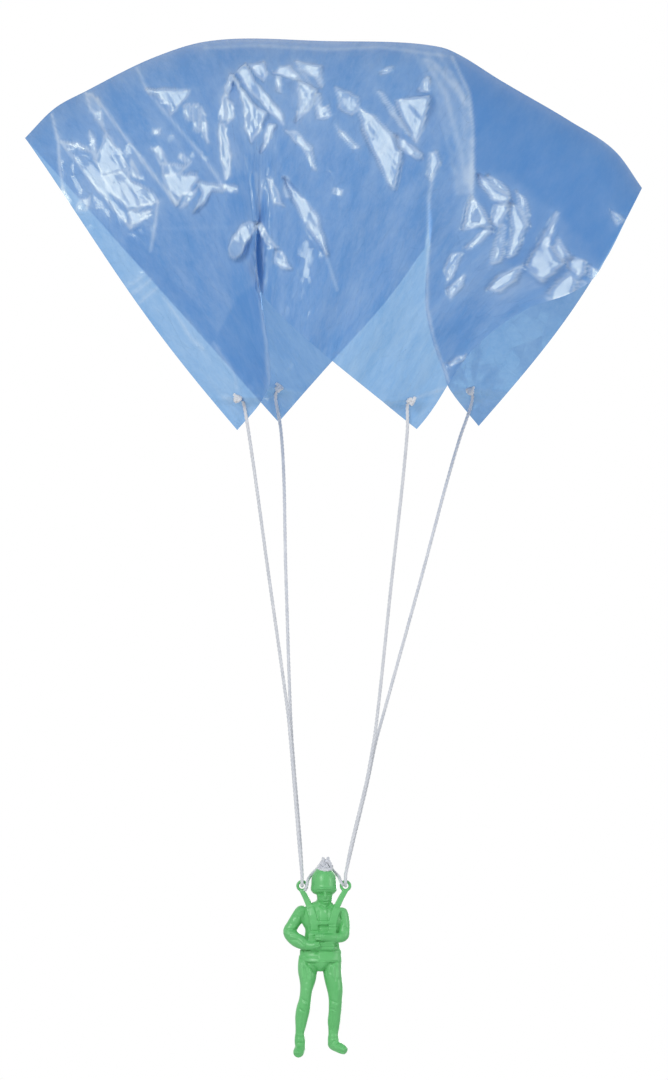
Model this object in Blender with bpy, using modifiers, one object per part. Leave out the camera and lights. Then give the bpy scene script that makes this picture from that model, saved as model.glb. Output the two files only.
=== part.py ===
"""Toy parachute: one square of thin film hung over its crown, four lines knotted through its
corners, and a one-piece moulded paratrooper that hangs by two shoulder rings.

World frame: the crown of the canopy is the origin, +Z up, -Y towards the front of the
paratrooper, +X to the right as one looks at its face. All sizes are in metres.
"""

import math

import bmesh
import bpy
import numpy as np
from mathutils import Matrix, Vector

MM = 0.001

# Canopy film
CANOPY_SPREAD = 160.4 * MM  # shoulder to shoulder
CANOPY_DROP = 101.4 * MM  # crown to the lowest corner
CANOPY_BULGE = 33.0 * MM  # half of the depth, front to back
FILM_WALL = 0.6 * MM
FOLD_DEPTH = 40.0 * MM  # how far the pinched folds reach into the canopy
RIPPLE_HEIGHT = 0.9 * MM
SIDE_SWELL = 4.2 * MM  # the back right edge swells outward
EYELET_RADIUS = 0.85 * MM
EYELET_OVERRUN = 2.0 * MM
EYELET_SIDES = 10
CROWN_PX = 322.6  # the crown stands over the middle of the hanging weight

# Lines and knots
LINE_DIAMETER = 0.9 * MM
SEAT_GAP = 0.3 * MM  # between pieces that touch on the real toy
LINE_STEP = 2.8 * LINE_DIAMETER
FINE_POINTS = 400
TUBE_SIDES = 8
CORNER_KNOT_WIDTH = 2.5 * MM
HEAD_KNOT_WIDTH = 3.6 * MM
HEAD_KNOT_HEIGHT = 2.9 * MM
KNOT_STRAND_SHARE = 0.17  # strand radius as a share of the knot's width
KNOT_FLATNESS_SHARE = 0.55
KNOT_POINTS = 36
KNOT_VOXEL_SHARE = 0.07
KNOT_KEPT_SHARE = 0.18

# Paratrooper
FIGURE_HEIGHT = 49.3 * MM  # helmet to boots
FIGURE_VOXEL = 0.40 * MM
FIGURE_KEPT_SHARE = 0.30  # share of the remeshed faces that are kept
HANG = 218.5 * MM  # crown to the bars of the shoulder rings
RING_SPACING = 11.3 * MM
RING_RADIUS = 1.15 * MM
RING_WIRE_RADIUS = 0.4 * MM
RING_SIDES = 20
RING_WIRE_SIDES = 10
RING_SETBACK = -0.34 * MM  # the rings stand over the figure's weight, not over its heels
HITCH_LEG = 1.4 * MM
HITCH_STEPS = 8
SOLE_TILT_DEGREES = {"left": 31.0, "right": 24.0}  # toes down
SOLE_TURN_DEGREES = {"left": -8.0, "right": 46.0}  # toes outward
SOLE_CUT = 7.4 * MM
SOLE_CUT_DEPTH = 3.0 * MM

# The photograph's frame, which the outlines below are read in
SPREAD_PX = 617.0
DROP_PX = 390.0
TOP_PX = 41.0
FIGURE_PX = 189.5
RING_BAR_PX = 881.5
RING_MIDDLE_PX = 323.8
FIGURE_PIXEL = FIGURE_HEIGHT / FIGURE_PX

# The film's grid: columns from its left edge to its right one, rows from the ridge to a hem
FILM_COLUMNS = 26
FILM_ROWS = 11
ROW_EXPONENT = 1.5  # rows stand closer together near the ridge
SLOPE_STEP_SHARE = 0.01  # how far to each side the film's direction is measured

# Pinched folds: column shares of the left lip, the valley and the right lip
FRONT_FOLD_SHARES = (8 / FILM_COLUMNS, 10 / FILM_COLUMNS, 12 / FILM_COLUMNS)
BACK_FOLD_SHARES = (15 / FILM_COLUMNS, 17 / FILM_COLUMNS, 19 / FILM_COLUMNS)
GATHER_SHARE = 0.9  # how early a fold closes below the ridge
GATHER_WIDTH_SHARE = 0.2
FOLD_EXPONENT = 1.3
RIPPLE_WAVES = 7
SWELL_START_SHARE = 0.8

# Ridge: column share of the sheet, then pixels across and down
RIDGE_PX = [
    (0.000, 25, 138),
    (0.060, 55, 108),
    (0.112, 86, 91),
    (0.226, 155, 57),
    (0.303, 206, 41.5),
    (0.478, 325, 41),
    (0.640, 440, 47),
    (0.672, 458, 54),
    (0.740, 500, 80),
    (0.860, 570, 121),
    (0.944, 616, 152),
    (1.000, 642, 188),
]
# Hems: column share, pixels across and down, and share of the bulge
FRONT_HEM_PX = [
    (0.000, 238, 431, 0.60),
    (0.100, 263, 401, 0.73),
    (0.160, 271, 382, 0.84),
    (0.240, 267, 332, 0.95),
    (FRONT_FOLD_SHARES[0], 259, 298, 1.03),
    (FRONT_FOLD_SHARES[1], 262, 270, 1.00),
    (FRONT_FOLD_SHARES[2], 264.5, 299, 0.98),
    (0.520, 279, 316, 1.00),
    (0.600, 305, 340, 1.00),
    (0.700, 332, 363, 0.95),
    (0.850, 372, 395, 0.80),
    (1.000, 416, 430, 0.60),
]
BACK_HEM_PX = [
    (0.000, 278, 421, 0.60),
    (0.200, 326, 366, 0.86),
    (0.400, 385, 300, 1.00),
    (BACK_FOLD_SHARES[0], 426, 244, 0.98),
    (BACK_FOLD_SHARES[1], 429, 222, 1.00),
    (BACK_FOLD_SHARES[2], 431.5, 243, 1.03),
    (0.780, 427, 276, 1.00),
    (0.830, 427, 307, 0.98),
    (0.880, 434, 340, 0.90),
    (0.930, 445, 371, 0.80),
    (0.960, 451, 388, 0.74),
    (1.000, 480, 425, 0.60),
]
# Each corner's knot: which half of the film, then its column share and row share
CORNERS = {
    "front_left": (-1, 0.050, 0.945),
    "front_right": (-1, 0.940, 0.947),
    "back_left": (1, 0.058, 0.940),
    "back_right": (1, 0.977, 0.947),
}

# Routes of the four lines, from knot to ring, in millimetres
LINE_ROUTES_MM = {
    "front_left": [
        (-21.38, -22.19, -93.23),
        (-21.08, -21.25, -93.06),
        (-20.75, -20.41, -93.30),
        (-20.40, -19.76, -94.20),
        (-20.10, -19.45, -95.60),
        (-19.60, -19.50, -98.60),
        (-18.90, -19.10, -103.0),
        (-13.80, -9.90, -140.0),
        (-9.43, -1.98, -171.5),
        (-8.85, -1.02, -176.0),
        (-8.42, -0.74, -181.0),
        (-7.98, -0.72, -186.0),
        (-6.00, -0.75, -210.0),
        (-5.34, -1.15, -216.8),
    ],
    "front_right": [
        (22.70, -22.68, -93.91),
        (22.36, -21.78, -93.64),
        (22.04, -20.97, -93.80),
        (21.85, -20.34, -94.60),
        (21.85, -19.90, -96.00),
        (21.95, -19.40, -100.0),
        (21.70, -18.70, -104.0),
        (17.70, -9.80, -142.0),
        (14.04, -1.93, -176.7),
        (13.45, -1.02, -181.2),
        (12.60, -0.74, -186.2),
        (11.70, -0.72, -191.2),
        (7.25, -0.75, -210.0),
        (5.96, -1.15, -216.8),
    ],
    "back_left": [
        (-11.70, 22.16, -90.08),
        (-12.03, 23.07, -90.32),
        (-12.32, 23.89, -90.90),
        (-12.45, 24.53, -92.00),
        (-12.25, 24.50, -93.60),
        (-11.60, 23.20, -97.00),
        (-10.95, 21.50, -101.0),
        (-9.60, 11.20, -139.0),
        (-8.50, 2.10, -171.5),
        (-8.30, 1.06, -176.0),
        (-8.02, 0.75, -181.0),
        (-7.66, 0.72, -186.0),
        (-5.72, 0.75, -210.0),
        (-5.34, 1.15, -216.8),
    ],
    "back_right": [
        (38.93, 22.17, -90.96),
        (39.20, 23.11, -91.18),
        (39.40, 23.95, -91.75),
        (39.34, 24.55, -92.85),
        (38.90, 24.50, -94.60),
        (37.70, 23.20, -98.20),
        (36.30, 21.50, -102.0),
        (25.10, 11.10, -142.0),
        (15.38, 2.05, -176.7),
        (14.10, 1.06, -181.2),
        (13.00, 0.75, -186.2),
        (12.00, 0.72, -191.2),
        (7.52, 0.75, -210.0),
        (5.96, 1.15, -216.8),
    ],
}


def clear_scene():
    for item in list(bpy.data.objects):
        bpy.data.objects.remove(item)


def new_collection(name):
    made = bpy.data.collections.new(name)
    bpy.context.scene.collection.children.link(made)
    return made


def new_material(name, colour, roughness, transmission=0.0):
    made = bpy.data.materials.new(name)
    made.use_nodes = True
    made.diffuse_color = (*colour, 1.0)
    shader = made.node_tree.nodes["Principled BSDF"]
    shader.inputs["Base Color"].default_value = (*colour, 1.0)
    shader.inputs["Roughness"].default_value = roughness
    shader.inputs["Metallic"].default_value = 0.0
    shader.inputs["Transmission Weight"].default_value = transmission
    return made


def add_object(name, mesh, collection, finish):
    made = bpy.data.objects.new(name, mesh)
    collection.objects.link(made)
    mesh.materials.clear()
    mesh.materials.append(finish)
    return made


def evaluated_mesh(item):
    """The mesh of an object with its modifiers or its bevel applied."""
    bpy.context.view_layer.update()
    graph = bpy.context.evaluated_depsgraph_get()
    return bpy.data.meshes.new_from_object(item.evaluated_get(graph))


def move_to_cutters(cutter, cutters):
    for group in list(cutter.users_collection):
        group.objects.unlink(cutter)
    cutters.objects.link(cutter)
    cutter.hide_render = True
    cutter.display_type = "WIRE"


def new_pivot(name, place, collection):
    """An empty on a joint's axis, which carries the pieces that turn about it."""
    pivot = bpy.data.objects.new(name, None)
    collection.objects.link(pivot)
    pivot.location = place
    return pivot


# Film


def smooth_through(keys, at, corners=()):
    """A curve through hand-placed keys, with a sharp turn at each key listed in corners."""
    shares = [key[0] for key in keys]
    values = np.array([key[1:] for key in keys], dtype=float)
    last = len(keys) - 1
    k = min(max(int(np.searchsorted(shares, at, side="right")) - 1, 0), last - 1)
    span = shares[k + 1] - shares[k]
    f = (at - shares[k]) / span
    chords = [
        (values[i + 1] - values[i]) / (shares[i + 1] - shares[i]) for i in range(last)
    ]

    def slope(i):
        if i in (0, last) or i in corners:
            return chords[k]
        return (chords[i - 1] + chords[i]) / 2

    start_weight = 2 * f**3 - 3 * f**2 + 1
    start_slope = (f**3 - 2 * f**2 + f) * span
    end_slope = (f**3 - f**2) * span
    return (
        start_weight * values[k]
        + start_slope * slope(k)
        + (1 - start_weight) * values[k + 1]
        + end_slope * slope(k + 1)
    )


def film_point(side, column, row):
    """A point of the film's middle surface: side -1 is the front half and 1 the back half."""
    keys = FRONT_HEM_PX if side < 0 else BACK_HEM_PX
    fold = FRONT_FOLD_SHARES if side < 0 else BACK_FOLD_SHARES
    turns = [i for i, key in enumerate(keys) if key[0] in fold]
    ridge = smooth_through(RIDGE_PX, column)
    hem = smooth_through(keys, column, turns)
    valley = fold[1]
    reach = fold[2] - fold[1]
    gather = GATHER_SHARE * math.exp(-(((column - valley) / GATHER_WIDTH_SHARE) ** 2))
    across_row = row + gather * row * (1 - row)
    across_px = ridge[0] + (hem[0] - ridge[0]) * across_row
    down_px = ridge[1] + (hem[1] - ridge[1]) * row
    across = (across_px - CROWN_PX) * CANOPY_SPREAD / SPREAD_PX
    if side > 0:
        edge = max(0.0, column - SWELL_START_SHARE) / (1 - SWELL_START_SHARE)
        across += SIDE_SWELL * edge**2 * math.sin(math.pi * row)
    dome = math.sqrt(row * (2 - row))
    inward = FOLD_DEPTH * max(0.0, 1 - abs(column - valley) / reach) * row**FOLD_EXPONENT
    ripple = math.sin(2 * math.pi * RIPPLE_WAVES * column) * math.sin(math.pi * column)
    outward = hem[2] * dome * CANOPY_BULGE + RIPPLE_HEIGHT * ripple * row
    down = (down_px - TOP_PX) * CANOPY_DROP / DROP_PX
    return Vector((across, side * (outward - inward), -down))


def film_frame(side, column, row):
    """Point of the film, with its front-facing normal and its downward direction."""
    step = SLOPE_STEP_SHARE
    here = film_point(side, column, row)
    along = film_point(side, column + step, row) - film_point(side, column - step, row)
    down = film_point(side, column, row + step) - film_point(side, column, row - step)
    normal = along.cross(down).normalized()
    if normal.y > 0:
        normal.negate()
    return here, normal, down.normalized()


def film_sheet():
    """The open sheet, one row of points after another from the front hem to the back hem."""
    rows = [(-1, (k / FILM_ROWS) ** ROW_EXPONENT) for k in range(FILM_ROWS, 0, -1)]
    rows += [(1, (k / FILM_ROWS) ** ROW_EXPONENT) for k in range(FILM_ROWS + 1)]
    columns = [k / FILM_COLUMNS for k in range(FILM_COLUMNS + 1)]
    sheet = bmesh.new()
    grid = [
        [sheet.verts.new(film_point(side, column, row)) for column in columns]
        for side, row in rows
    ]
    for low, high in zip(grid, grid[1:]):
        for k in range(FILM_COLUMNS):
            sheet.faces.new((low[k], low[k + 1], high[k + 1], high[k]))
    mesh = bpy.data.meshes.new("canopy_film")
    sheet.to_mesh(mesh)
    sheet.free()
    return mesh


def make_canopy(parts, cutters, finish):
    canopy = add_object("canopy_film", film_sheet(), parts, finish)
    canopy.data.shade_smooth()
    wall = canopy.modifiers.new("Wall", "SOLIDIFY")
    wall.thickness = FILM_WALL
    wall.offset = 0.0
    for corner, (side, column, row) in CORNERS.items():
        here, normal, _ = film_frame(side, column, row)
        bpy.ops.mesh.primitive_cylinder_add(
            vertices=EYELET_SIDES,
            radius=EYELET_RADIUS,
            depth=2 * EYELET_OVERRUN,
            location=here,
        )
        punch = bpy.context.object
        punch.name = f"eyelet_{corner}"
        punch.rotation_euler = normal.to_track_quat("Z", "Y").to_euler()
        move_to_cutters(punch, cutters)
        hole = canopy.modifiers.new(f"Eyelet {corner}", "BOOLEAN")
        hole.operation = "DIFFERENCE"
        hole.solver = "EXACT"
        hole.object = punch
    return canopy


# Lines and knots


def resampled(points, step):
    """Points at an even step on a smooth curve through the route's own points."""
    reached = np.cumsum([0.0] + [(b - a).length for a, b in zip(points, points[1:])])
    keys = [(s, *p) for s, p in zip(reached, points)]
    fine = [Vector(smooth_through(keys, s)) for s in np.linspace(0.0, reached[-1], FINE_POINTS)]
    lengths = np.cumsum([0.0] + [(b - a).length for a, b in zip(fine, fine[1:])])
    count = max(2, round(lengths[-1] / step))
    places = np.linspace(0.0, lengths[-1], count + 1)
    flat = np.array(fine)
    return [Vector([np.interp(s, lengths, flat[:, a]) for a in range(3)]) for s in places]


def tube(name, points, pivot, parts, finish):
    """A length of line: a POLY curve through the points with a round bevel and closed ends."""
    curve = bpy.data.curves.new(name, "CURVE")
    curve.dimensions = "3D"
    curve.bevel_depth = LINE_DIAMETER / 2
    curve.bevel_resolution = TUBE_SIDES // 2 - 2
    curve.use_fill_caps = True
    spline = curve.splines.new("POLY")
    spline.points.add(len(points) - 1)
    for slot, point in zip(spline.points, points):
        slot.co = (*point, 1.0)
    curve.materials.append(finish)
    made = bpy.data.objects.new(name, curve)
    parts.objects.link(made)
    made.parent = pivot
    return made


def make_lines(pivot, parts, finish):
    for corner, route in LINE_ROUTES_MM.items():
        points = [Vector(p) * MM for p in route]
        tube(f"line_{corner}", resampled(points, LINE_STEP), pivot, parts, finish)


def biggest_shell(mesh):
    """Keeps the largest closed shell of a mesh and drops the crumbs inside or beside it."""
    work = bmesh.new()
    work.from_mesh(mesh)
    left = set(work.verts)
    shells = []
    while left:
        stack = [left.pop()]
        shell = set(stack)
        while stack:
            for edge in stack.pop().link_edges:
                for vert in edge.verts:
                    if vert not in shell:
                        shell.add(vert)
                        stack.append(vert)
        left -= shell
        shells.append(shell)
    keep = max(shells, key=len)
    bmesh.ops.delete(work, geom=[v for v in work.verts if v not in keep], context="VERTS")
    work.to_mesh(mesh)
    work.free()


def knot_mesh(name, width, height):
    """A trefoil of string pulled tight: its strands sink into each other and form one lump."""
    curve = bpy.data.curves.new(name, "CURVE")
    curve.dimensions = "3D"
    curve.bevel_depth = KNOT_STRAND_SHARE * width
    curve.bevel_resolution = TUBE_SIDES // 2 - 2
    spline = curve.splines.new("POLY")
    spline.points.add(KNOT_POINTS - 1)
    spline.use_cyclic_u = True
    reach = width / 2 - curve.bevel_depth
    rise = height / 2 - curve.bevel_depth
    for k, slot in enumerate(spline.points):
        t = 2 * math.pi * k / KNOT_POINTS
        slot.co = (
            reach * (math.sin(t) + 2 * math.sin(2 * t)) / 3,
            -reach * KNOT_FLATNESS_SHARE * math.sin(3 * t),
            rise * (math.cos(t) - 2 * math.cos(2 * t)) / 3,
            1.0,
        )
    loop = bpy.data.objects.new(name, curve)
    bpy.context.scene.collection.objects.link(loop)
    strand = evaluated_mesh(loop)
    bpy.data.objects.remove(loop)
    lump = bpy.data.objects.new(name, strand)
    bpy.context.scene.collection.objects.link(lump)
    remesh = lump.modifiers.new("Pulled tight", "REMESH")
    remesh.mode = "VOXEL"
    remesh.voxel_size = KNOT_VOXEL_SHARE * width
    thin = lump.modifiers.new("Fewer faces", "DECIMATE")
    thin.ratio = KNOT_KEPT_SHARE
    made = evaluated_mesh(lump)
    bpy.data.objects.remove(lump)
    biggest_shell(made)
    made.shade_smooth()
    return made


def make_corner_knots(pivot, parts, finish):
    for corner, (side, column, row) in CORNERS.items():
        here, normal, down = film_frame(side, column, row)
        name = f"knot_{corner}"
        mesh = knot_mesh(name, CORNER_KNOT_WIDTH, CORNER_KNOT_WIDTH)
        depth = max(v.co.y for v in mesh.vertices)
        knot = add_object(name, mesh, parts, finish)
        across = down.cross(normal).normalized()
        stance = Matrix((across, -normal, across.cross(-normal))).transposed()
        knot.parent = pivot
        knot.rotation_euler = stance.to_euler()
        knot.location = here + normal * (FILM_WALL / 2 + SEAT_GAP + depth)


def ring_axis_place():
    """Middle of the axis that the figure rocks about, along the bars of its shoulder rings."""
    across = (RING_MIDDLE_PX - CROWN_PX) * CANOPY_SPREAD / SPREAD_PX
    return Vector((across, 0.0, -HANG))


def make_hitches(pivot, parts, finish):
    """Each ring's loop: the string comes down, bends under the ring's bar and goes up again."""
    bend = RING_WIRE_RADIUS + SEAT_GAP + LINE_DIAMETER / 2
    for name, side in (("ring_hitch_left", -1), ("ring_hitch_right", 1)):
        across = side * RING_SPACING / 2
        points = [Vector((across, -bend, HITCH_LEG)), Vector((across, -bend, HITCH_LEG / 2))]
        for k in range(HITCH_STEPS + 1):
            turn = math.pi * k / HITCH_STEPS
            points.append(Vector((across, -bend * math.cos(turn), -bend * math.sin(turn))))
        points.append(Vector((across, bend, HITCH_LEG / 2)))
        points.append(Vector((across, bend, HITCH_LEG)))
        tube(name, points, pivot, parts, finish)


# Paratrooper: sections are pixels across, down and in depth, then half widths in pixels

HEAD_PX = [
    (325.0, 906.6, -4.5, 3.4, 3.6),
    (325.0, 904.6, -3.4, 5.2, 8.6),
    (324.9, 902.2, -2.4, 6.6, 8.8),
    (324.8, 899.6, -2.2, 7.4, 9.8),
    (324.7, 895.4, -1.6, 8.1, 9.9),
    (324.6, 892.0, -1.0, 8.3, 9.4),
    (324.4, 888.0, -1.0, 8.6, 11.0),
]
HELMET_PX = [
    (323.8, 892.0, 1.5, 10.6, 11.0),
    (323.8, 890.0, 0.5, 12.6, 13.6),
    (323.8, 888.0, 0.0, 13.2, 14.8),
    (323.8, 886.0, 0.0, 12.8, 14.0),
    (323.8, 880.0, 0.0, 12.4, 13.4),
    (323.8, 875.0, 0.0, 11.2, 12.0),
    (323.8, 871.5, 0.0, 9.0, 9.8),
    (323.8, 869.0, 0.0, 6.2, 6.8),
    (323.8, 867.6, 0.0, 2.6, 3.0),
]
TORSO_PX = [
    (320.2, 971.0, 0.0, 3.5, 5.0),
    (320.3, 967.0, 0.0, 11.0, 8.2),
    (320.5, 962.0, 0.0, 20.0, 9.6),
    (320.5, 957.0, 0.0, 20.8, 10.0),
    (320.5, 950.0, 0.0, 20.0, 9.4),
    (321.5, 940.0, 0.0, 17.5, 9.4),
    (322.5, 930.0, -0.5, 17.6, 10.2),
    (322.7, 924.0, -0.5, 20.6, 10.4),
    (323.0, 917.0, -0.5, 21.0, 10.6),
    (323.0, 911.0, 0.0, 20.0, 9.4),
    (323.4, 905.5, 0.5, 14.5, 7.6),
    (323.8, 901.0, 0.5, 7.5, 6.8),
    (323.8, 894.0, 0.5, 6.6, 6.6),
]
LEFT_ARM_PX = [
    (306.0, 908.5, 0.0, 3.5, 5.0),
    (302.6, 911.2, 0.0, 6.6, 6.8),
    (297.2, 918.4, -0.5, 6.6, 6.4),
    (292.4, 925.6, -1.5, 6.2, 6.2),
    (290.0, 931.6, -3.0, 7.0, 6.2),
    (294.4, 938.2, -5.5, 7.0, 6.0),
    (300.6, 941.8, -8.0, 7.0, 5.8),
    (306.5, 944.4, -11.0, 5.4, 5.2),
    (311.0, 945.4, -13.0, 4.4, 4.2),
    (316.0, 944.6, -14.8, 3.6, 3.4),
    (320.0, 943.4, -15.4, 2.8, 2.4),
]
RIGHT_ARM_PX = [
    (339.0, 909.0, 0.0, 3.5, 5.0),
    (341.0, 912.5, 0.0, 6.6, 6.8),
    (343.2, 921.0, -0.5, 6.4, 6.6),
    (344.0, 929.0, -2.0, 6.0, 6.2),
    (343.0, 935.6, -4.0, 5.8, 5.8),
    (338.0, 937.6, -8.0, 5.0, 5.2),
    (331.0, 937.4, -12.5, 4.4, 4.4),
    (325.0, 937.0, -15.5, 3.6, 3.6),
    (319.5, 936.6, -17.0, 3.6, 3.0),
    (315.0, 936.6, -17.0, 2.6, 2.4),
]
LEFT_LEG_PX = [
    (308.0, 956.0, 0.0, 9.0, 8.0),
    (307.6, 963.0, 0.0, 9.6, 8.2),
    (307.6, 971.0, 0.0, 9.7, 8.8),
    (307.6, 980.0, -1.0, 8.2, 8.8),
    (306.3, 990.0, -1.8, 6.2, 7.6),
    (305.0, 1000.0, -2.2, 6.1, 7.0),
    (303.4, 1008.0, -1.8, 6.9, 7.2),
    (301.7, 1017.0, 0.0, 6.6, 7.0),
    (300.7, 1026.0, 0.6, 5.4, 6.0),
    (299.7, 1034.0, 0.8, 4.4, 5.0),
    (299.7, 1036.5, 0.8, 4.9, 5.6),
    (300.0, 1043.0, 1.0, 5.4, 6.0),
    (300.2, 1049.0, 1.5, 4.6, 4.6),
]
LEFT_FOOT_PX = [
    (300.6, 1044.5, 5.0, 4.2, 4.4),
    (300.3, 1047.0, 1.0, 5.2, 5.6),
    (299.4, 1050.0, -4.0, 5.4, 5.0),
    (298.2, 1052.6, -9.0, 5.3, 4.2),
    (297.4, 1054.2, -12.5, 4.0, 3.2),
]
RIGHT_LEG_PX = [
    (332.0, 956.0, 0.0, 8.6, 8.0),
    (332.2, 963.0, 0.0, 9.2, 8.2),
    (332.2, 971.0, 0.0, 9.2, 8.8),
    (333.4, 980.0, -1.0, 8.8, 8.8),
    (335.0, 989.0, -1.8, 8.1, 8.0),
    (335.4, 998.0, -2.2, 6.9, 7.2),
    (335.3, 1006.0, -1.8, 6.6, 7.0),
    (334.7, 1014.0, 0.0, 6.3, 6.9),
    (334.0, 1021.0, 0.5, 6.4, 6.6),
    (333.6, 1029.0, 0.8, 5.4, 5.5),
    (333.2, 1034.5, 0.8, 4.9, 5.0),
    (333.2, 1037.0, 0.8, 5.3, 5.6),
    (333.4, 1042.0, 0.8, 5.6, 5.9),
    (333.6, 1046.0, 1.0, 4.6, 4.6),
]
RIGHT_FOOT_PX = [
    (331.4, 1043.0, 4.6, 4.4, 4.2),
    (333.4, 1044.8, 1.0, 5.4, 5.0),
    (338.0, 1047.0, -3.6, 5.3, 4.6),
    (342.6, 1049.2, -7.4, 4.9, 3.9),
    (345.6, 1050.8, -10.0, 3.6, 3.0),
]
PACK_PX = [
    (321.5, 949.5, -7.0, 10.0, 3.6),
    (321.5, 948.0, -8.0, 12.4, 5.4),
    (321.5, 943.0, -8.0, 13.0, 6.0),
    (321.5, 934.0, -8.0, 13.0, 5.6),
    (321.5, 931.5, -7.5, 11.0, 4.0),
]
BELT_PX = [
    (320.6, 953.6, 0.0, 20.9, 10.8),
    (320.6, 950.2, 0.0, 20.7, 10.7),
]
# Each riser ends in the lower bar of its shoulder ring
RING_PX = RING_SPACING / 2 / FIGURE_PIXEL
RISER_END_PX = (RING_BAR_PX + 2 * RING_RADIUS / FIGURE_PIXEL, RING_SETBACK / FIGURE_PIXEL, 2.7, 2.0)
LEFT_RISER_PX = [
    (311.5, 916.0, -6.0, 3.2, 3.0),
    (309.5, 906.0, -3.0, 3.2, 2.4),
    (306.2, 898.5, -1.9, 2.9, 2.2),
    (RING_MIDDLE_PX - RING_PX, *RISER_END_PX),
]
RIGHT_RISER_PX = [
    (333.5, 916.0, -6.0, 3.2, 3.0),
    (337.2, 906.0, -3.0, 3.2, 2.4),
    (340.8, 898.5, -1.9, 2.9, 2.2),
    (RING_MIDDLE_PX + RING_PX, *RISER_END_PX),
]
LEFT_HARNESS_PX = [
    (310.0, 908.0, -8.0, 3.8, 2.0),
    (312.5, 915.0, -10.6, 3.8, 1.8),
    (314.0, 924.0, -11.0, 3.8, 1.8),
    (314.5, 933.0, -10.4, 3.8, 1.8),
]
RIGHT_HARNESS_PX = [
    (337.0, 908.5, -8.0, 3.8, 2.0),
    (334.5, 915.0, -10.4, 3.8, 1.8),
    (332.5, 924.0, -10.8, 3.8, 1.8),
    (332.0, 933.0, -10.2, 3.8, 1.8),
]
CHEST_STRAP_PX = [
    (313.0, 922.0, -10.8, 2.0, 1.8),
    (323.0, 922.6, -11.8, 2.0, 1.8),
    (333.0, 922.0, -10.8, 2.0, 1.8),
]
BACK_STRAP_PX = [
    (307.0, 908.0, 7.0, 3.0, 1.6),
    (317.0, 921.0, 10.6, 3.0, 1.6),
    (329.0, 936.0, 10.2, 3.0, 1.6),
    (335.0, 950.0, 7.6, 3.0, 1.6),
]
BRIM_PX = [
    (323.8, 889.4, -4.0, 10.8, 11.8),
    (323.8, 887.8, -4.0, 10.6, 12.2),
]
NOSE_PX = [
    (325.2, 890.5, -10.6, 1.0, 1.2),
    (325.2, 894.6, -12.2, 1.5, 1.7),
    (325.2, 897.2, -12.0, 1.8, 1.6),
    (325.2, 898.2, -11.0, 1.4, 1.0),
]
COLLAR_PX = [
    (323.4, 908.5, -0.4, 13.0, 9.0),
    (323.8, 903.6, 0.2, 10.2, 8.6),
]
SKIRT_PX = [
    (320.5, 961.6, 0.0, 21.4, 13.4),
    (320.5, 957.0, 0.0, 21.0, 12.2),
    (320.5, 951.5, 0.0, 20.2, 9.8),
]
TAIL_PX = [
    (320.4, 958.0, 0.0, 15.0, 11.6),
    (320.4, 963.6, 0.0, 10.5, 12.6),
    (320.4, 968.4, 0.0, 5.4, 11.0),
    (320.4, 971.4, 0.0, 2.6, 8.0),
]
FIGURE_FORMS = [
    (HEAD_PX, 16),
    (HELMET_PX, 20),
    (TORSO_PX, 20),
    (LEFT_ARM_PX, 14),
    (RIGHT_ARM_PX, 14),
    (LEFT_LEG_PX, 14),
    (LEFT_FOOT_PX, 14),
    (RIGHT_LEG_PX, 14),
    (RIGHT_FOOT_PX, 14),
    (PACK_PX, 4),
    (BELT_PX, 20),
    (LEFT_RISER_PX, 4),
    (RIGHT_RISER_PX, 4),
    (LEFT_HARNESS_PX, 4),
    (RIGHT_HARNESS_PX, 4),
    (CHEST_STRAP_PX, 4),
    (BACK_STRAP_PX, 4),
    (BRIM_PX, 16),
    (NOSE_PX, 8),
    (COLLAR_PX, 16),
    (SKIRT_PX, 20),
    (TAIL_PX, 12),
]


def figure_point(across_px, down_px, depth_px):
    """A place on the figure, measured from the middle of the axis through its rings."""
    return Vector(
        (
            (across_px - RING_MIDDLE_PX) * FIGURE_PIXEL,
            depth_px * FIGURE_PIXEL - RING_SETBACK,
            (RING_BAR_PX - down_px) * FIGURE_PIXEL,
        )
    )


def add_form(work, sections, sides):
    """Lofts one limb: an oval, or an oblong where there are four sides, square to its path."""
    centres = [figure_point(*section[:3]) for section in sections]
    turn = math.pi / 4 if sides == 4 else 0.0
    spread = math.sqrt(2) if sides == 4 else 1.0
    loops = []
    for k, section in enumerate(sections):
        ahead = centres[min(k + 1, len(centres) - 1)] - centres[max(k - 1, 0)]
        ahead.normalize()
        depth_way = (Vector((0, 1, 0)) - ahead * ahead.y).normalized()
        side_way = depth_way.cross(ahead).normalized()
        loop = []
        for n in range(sides):
            angle = turn + 2 * math.pi * n / sides
            offset = side_way * (section[3] * math.cos(angle))
            offset += depth_way * (section[4] * math.sin(angle))
            loop.append(work.verts.new(centres[k] + offset * (spread * FIGURE_PIXEL)))
        loops.append(loop)
    for low, high in zip(loops, loops[1:]):
        for n in range(sides):
            m = (n + 1) % sides
            work.faces.new((low[n], low[m], high[m], high[n]))
    work.faces.new(tuple(reversed(loops[0])))
    work.faces.new(tuple(loops[-1]))


SOLE_PX = {"left": (298.8, 1055.9, -6.0), "right": (339.5, 1051.6, -4.5)}


def sole_matrix(foot):
    """Frame of a boot's flat sole: its own -Z is the way that the sole faces."""
    turn = Matrix.Rotation(math.radians(SOLE_TURN_DEGREES[foot]), 4, "Z")
    tilt = Matrix.Rotation(math.radians(SOLE_TILT_DEGREES[foot]), 4, "X")
    return Matrix.Translation(figure_point(*SOLE_PX[foot])) @ turn @ tilt


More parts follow.
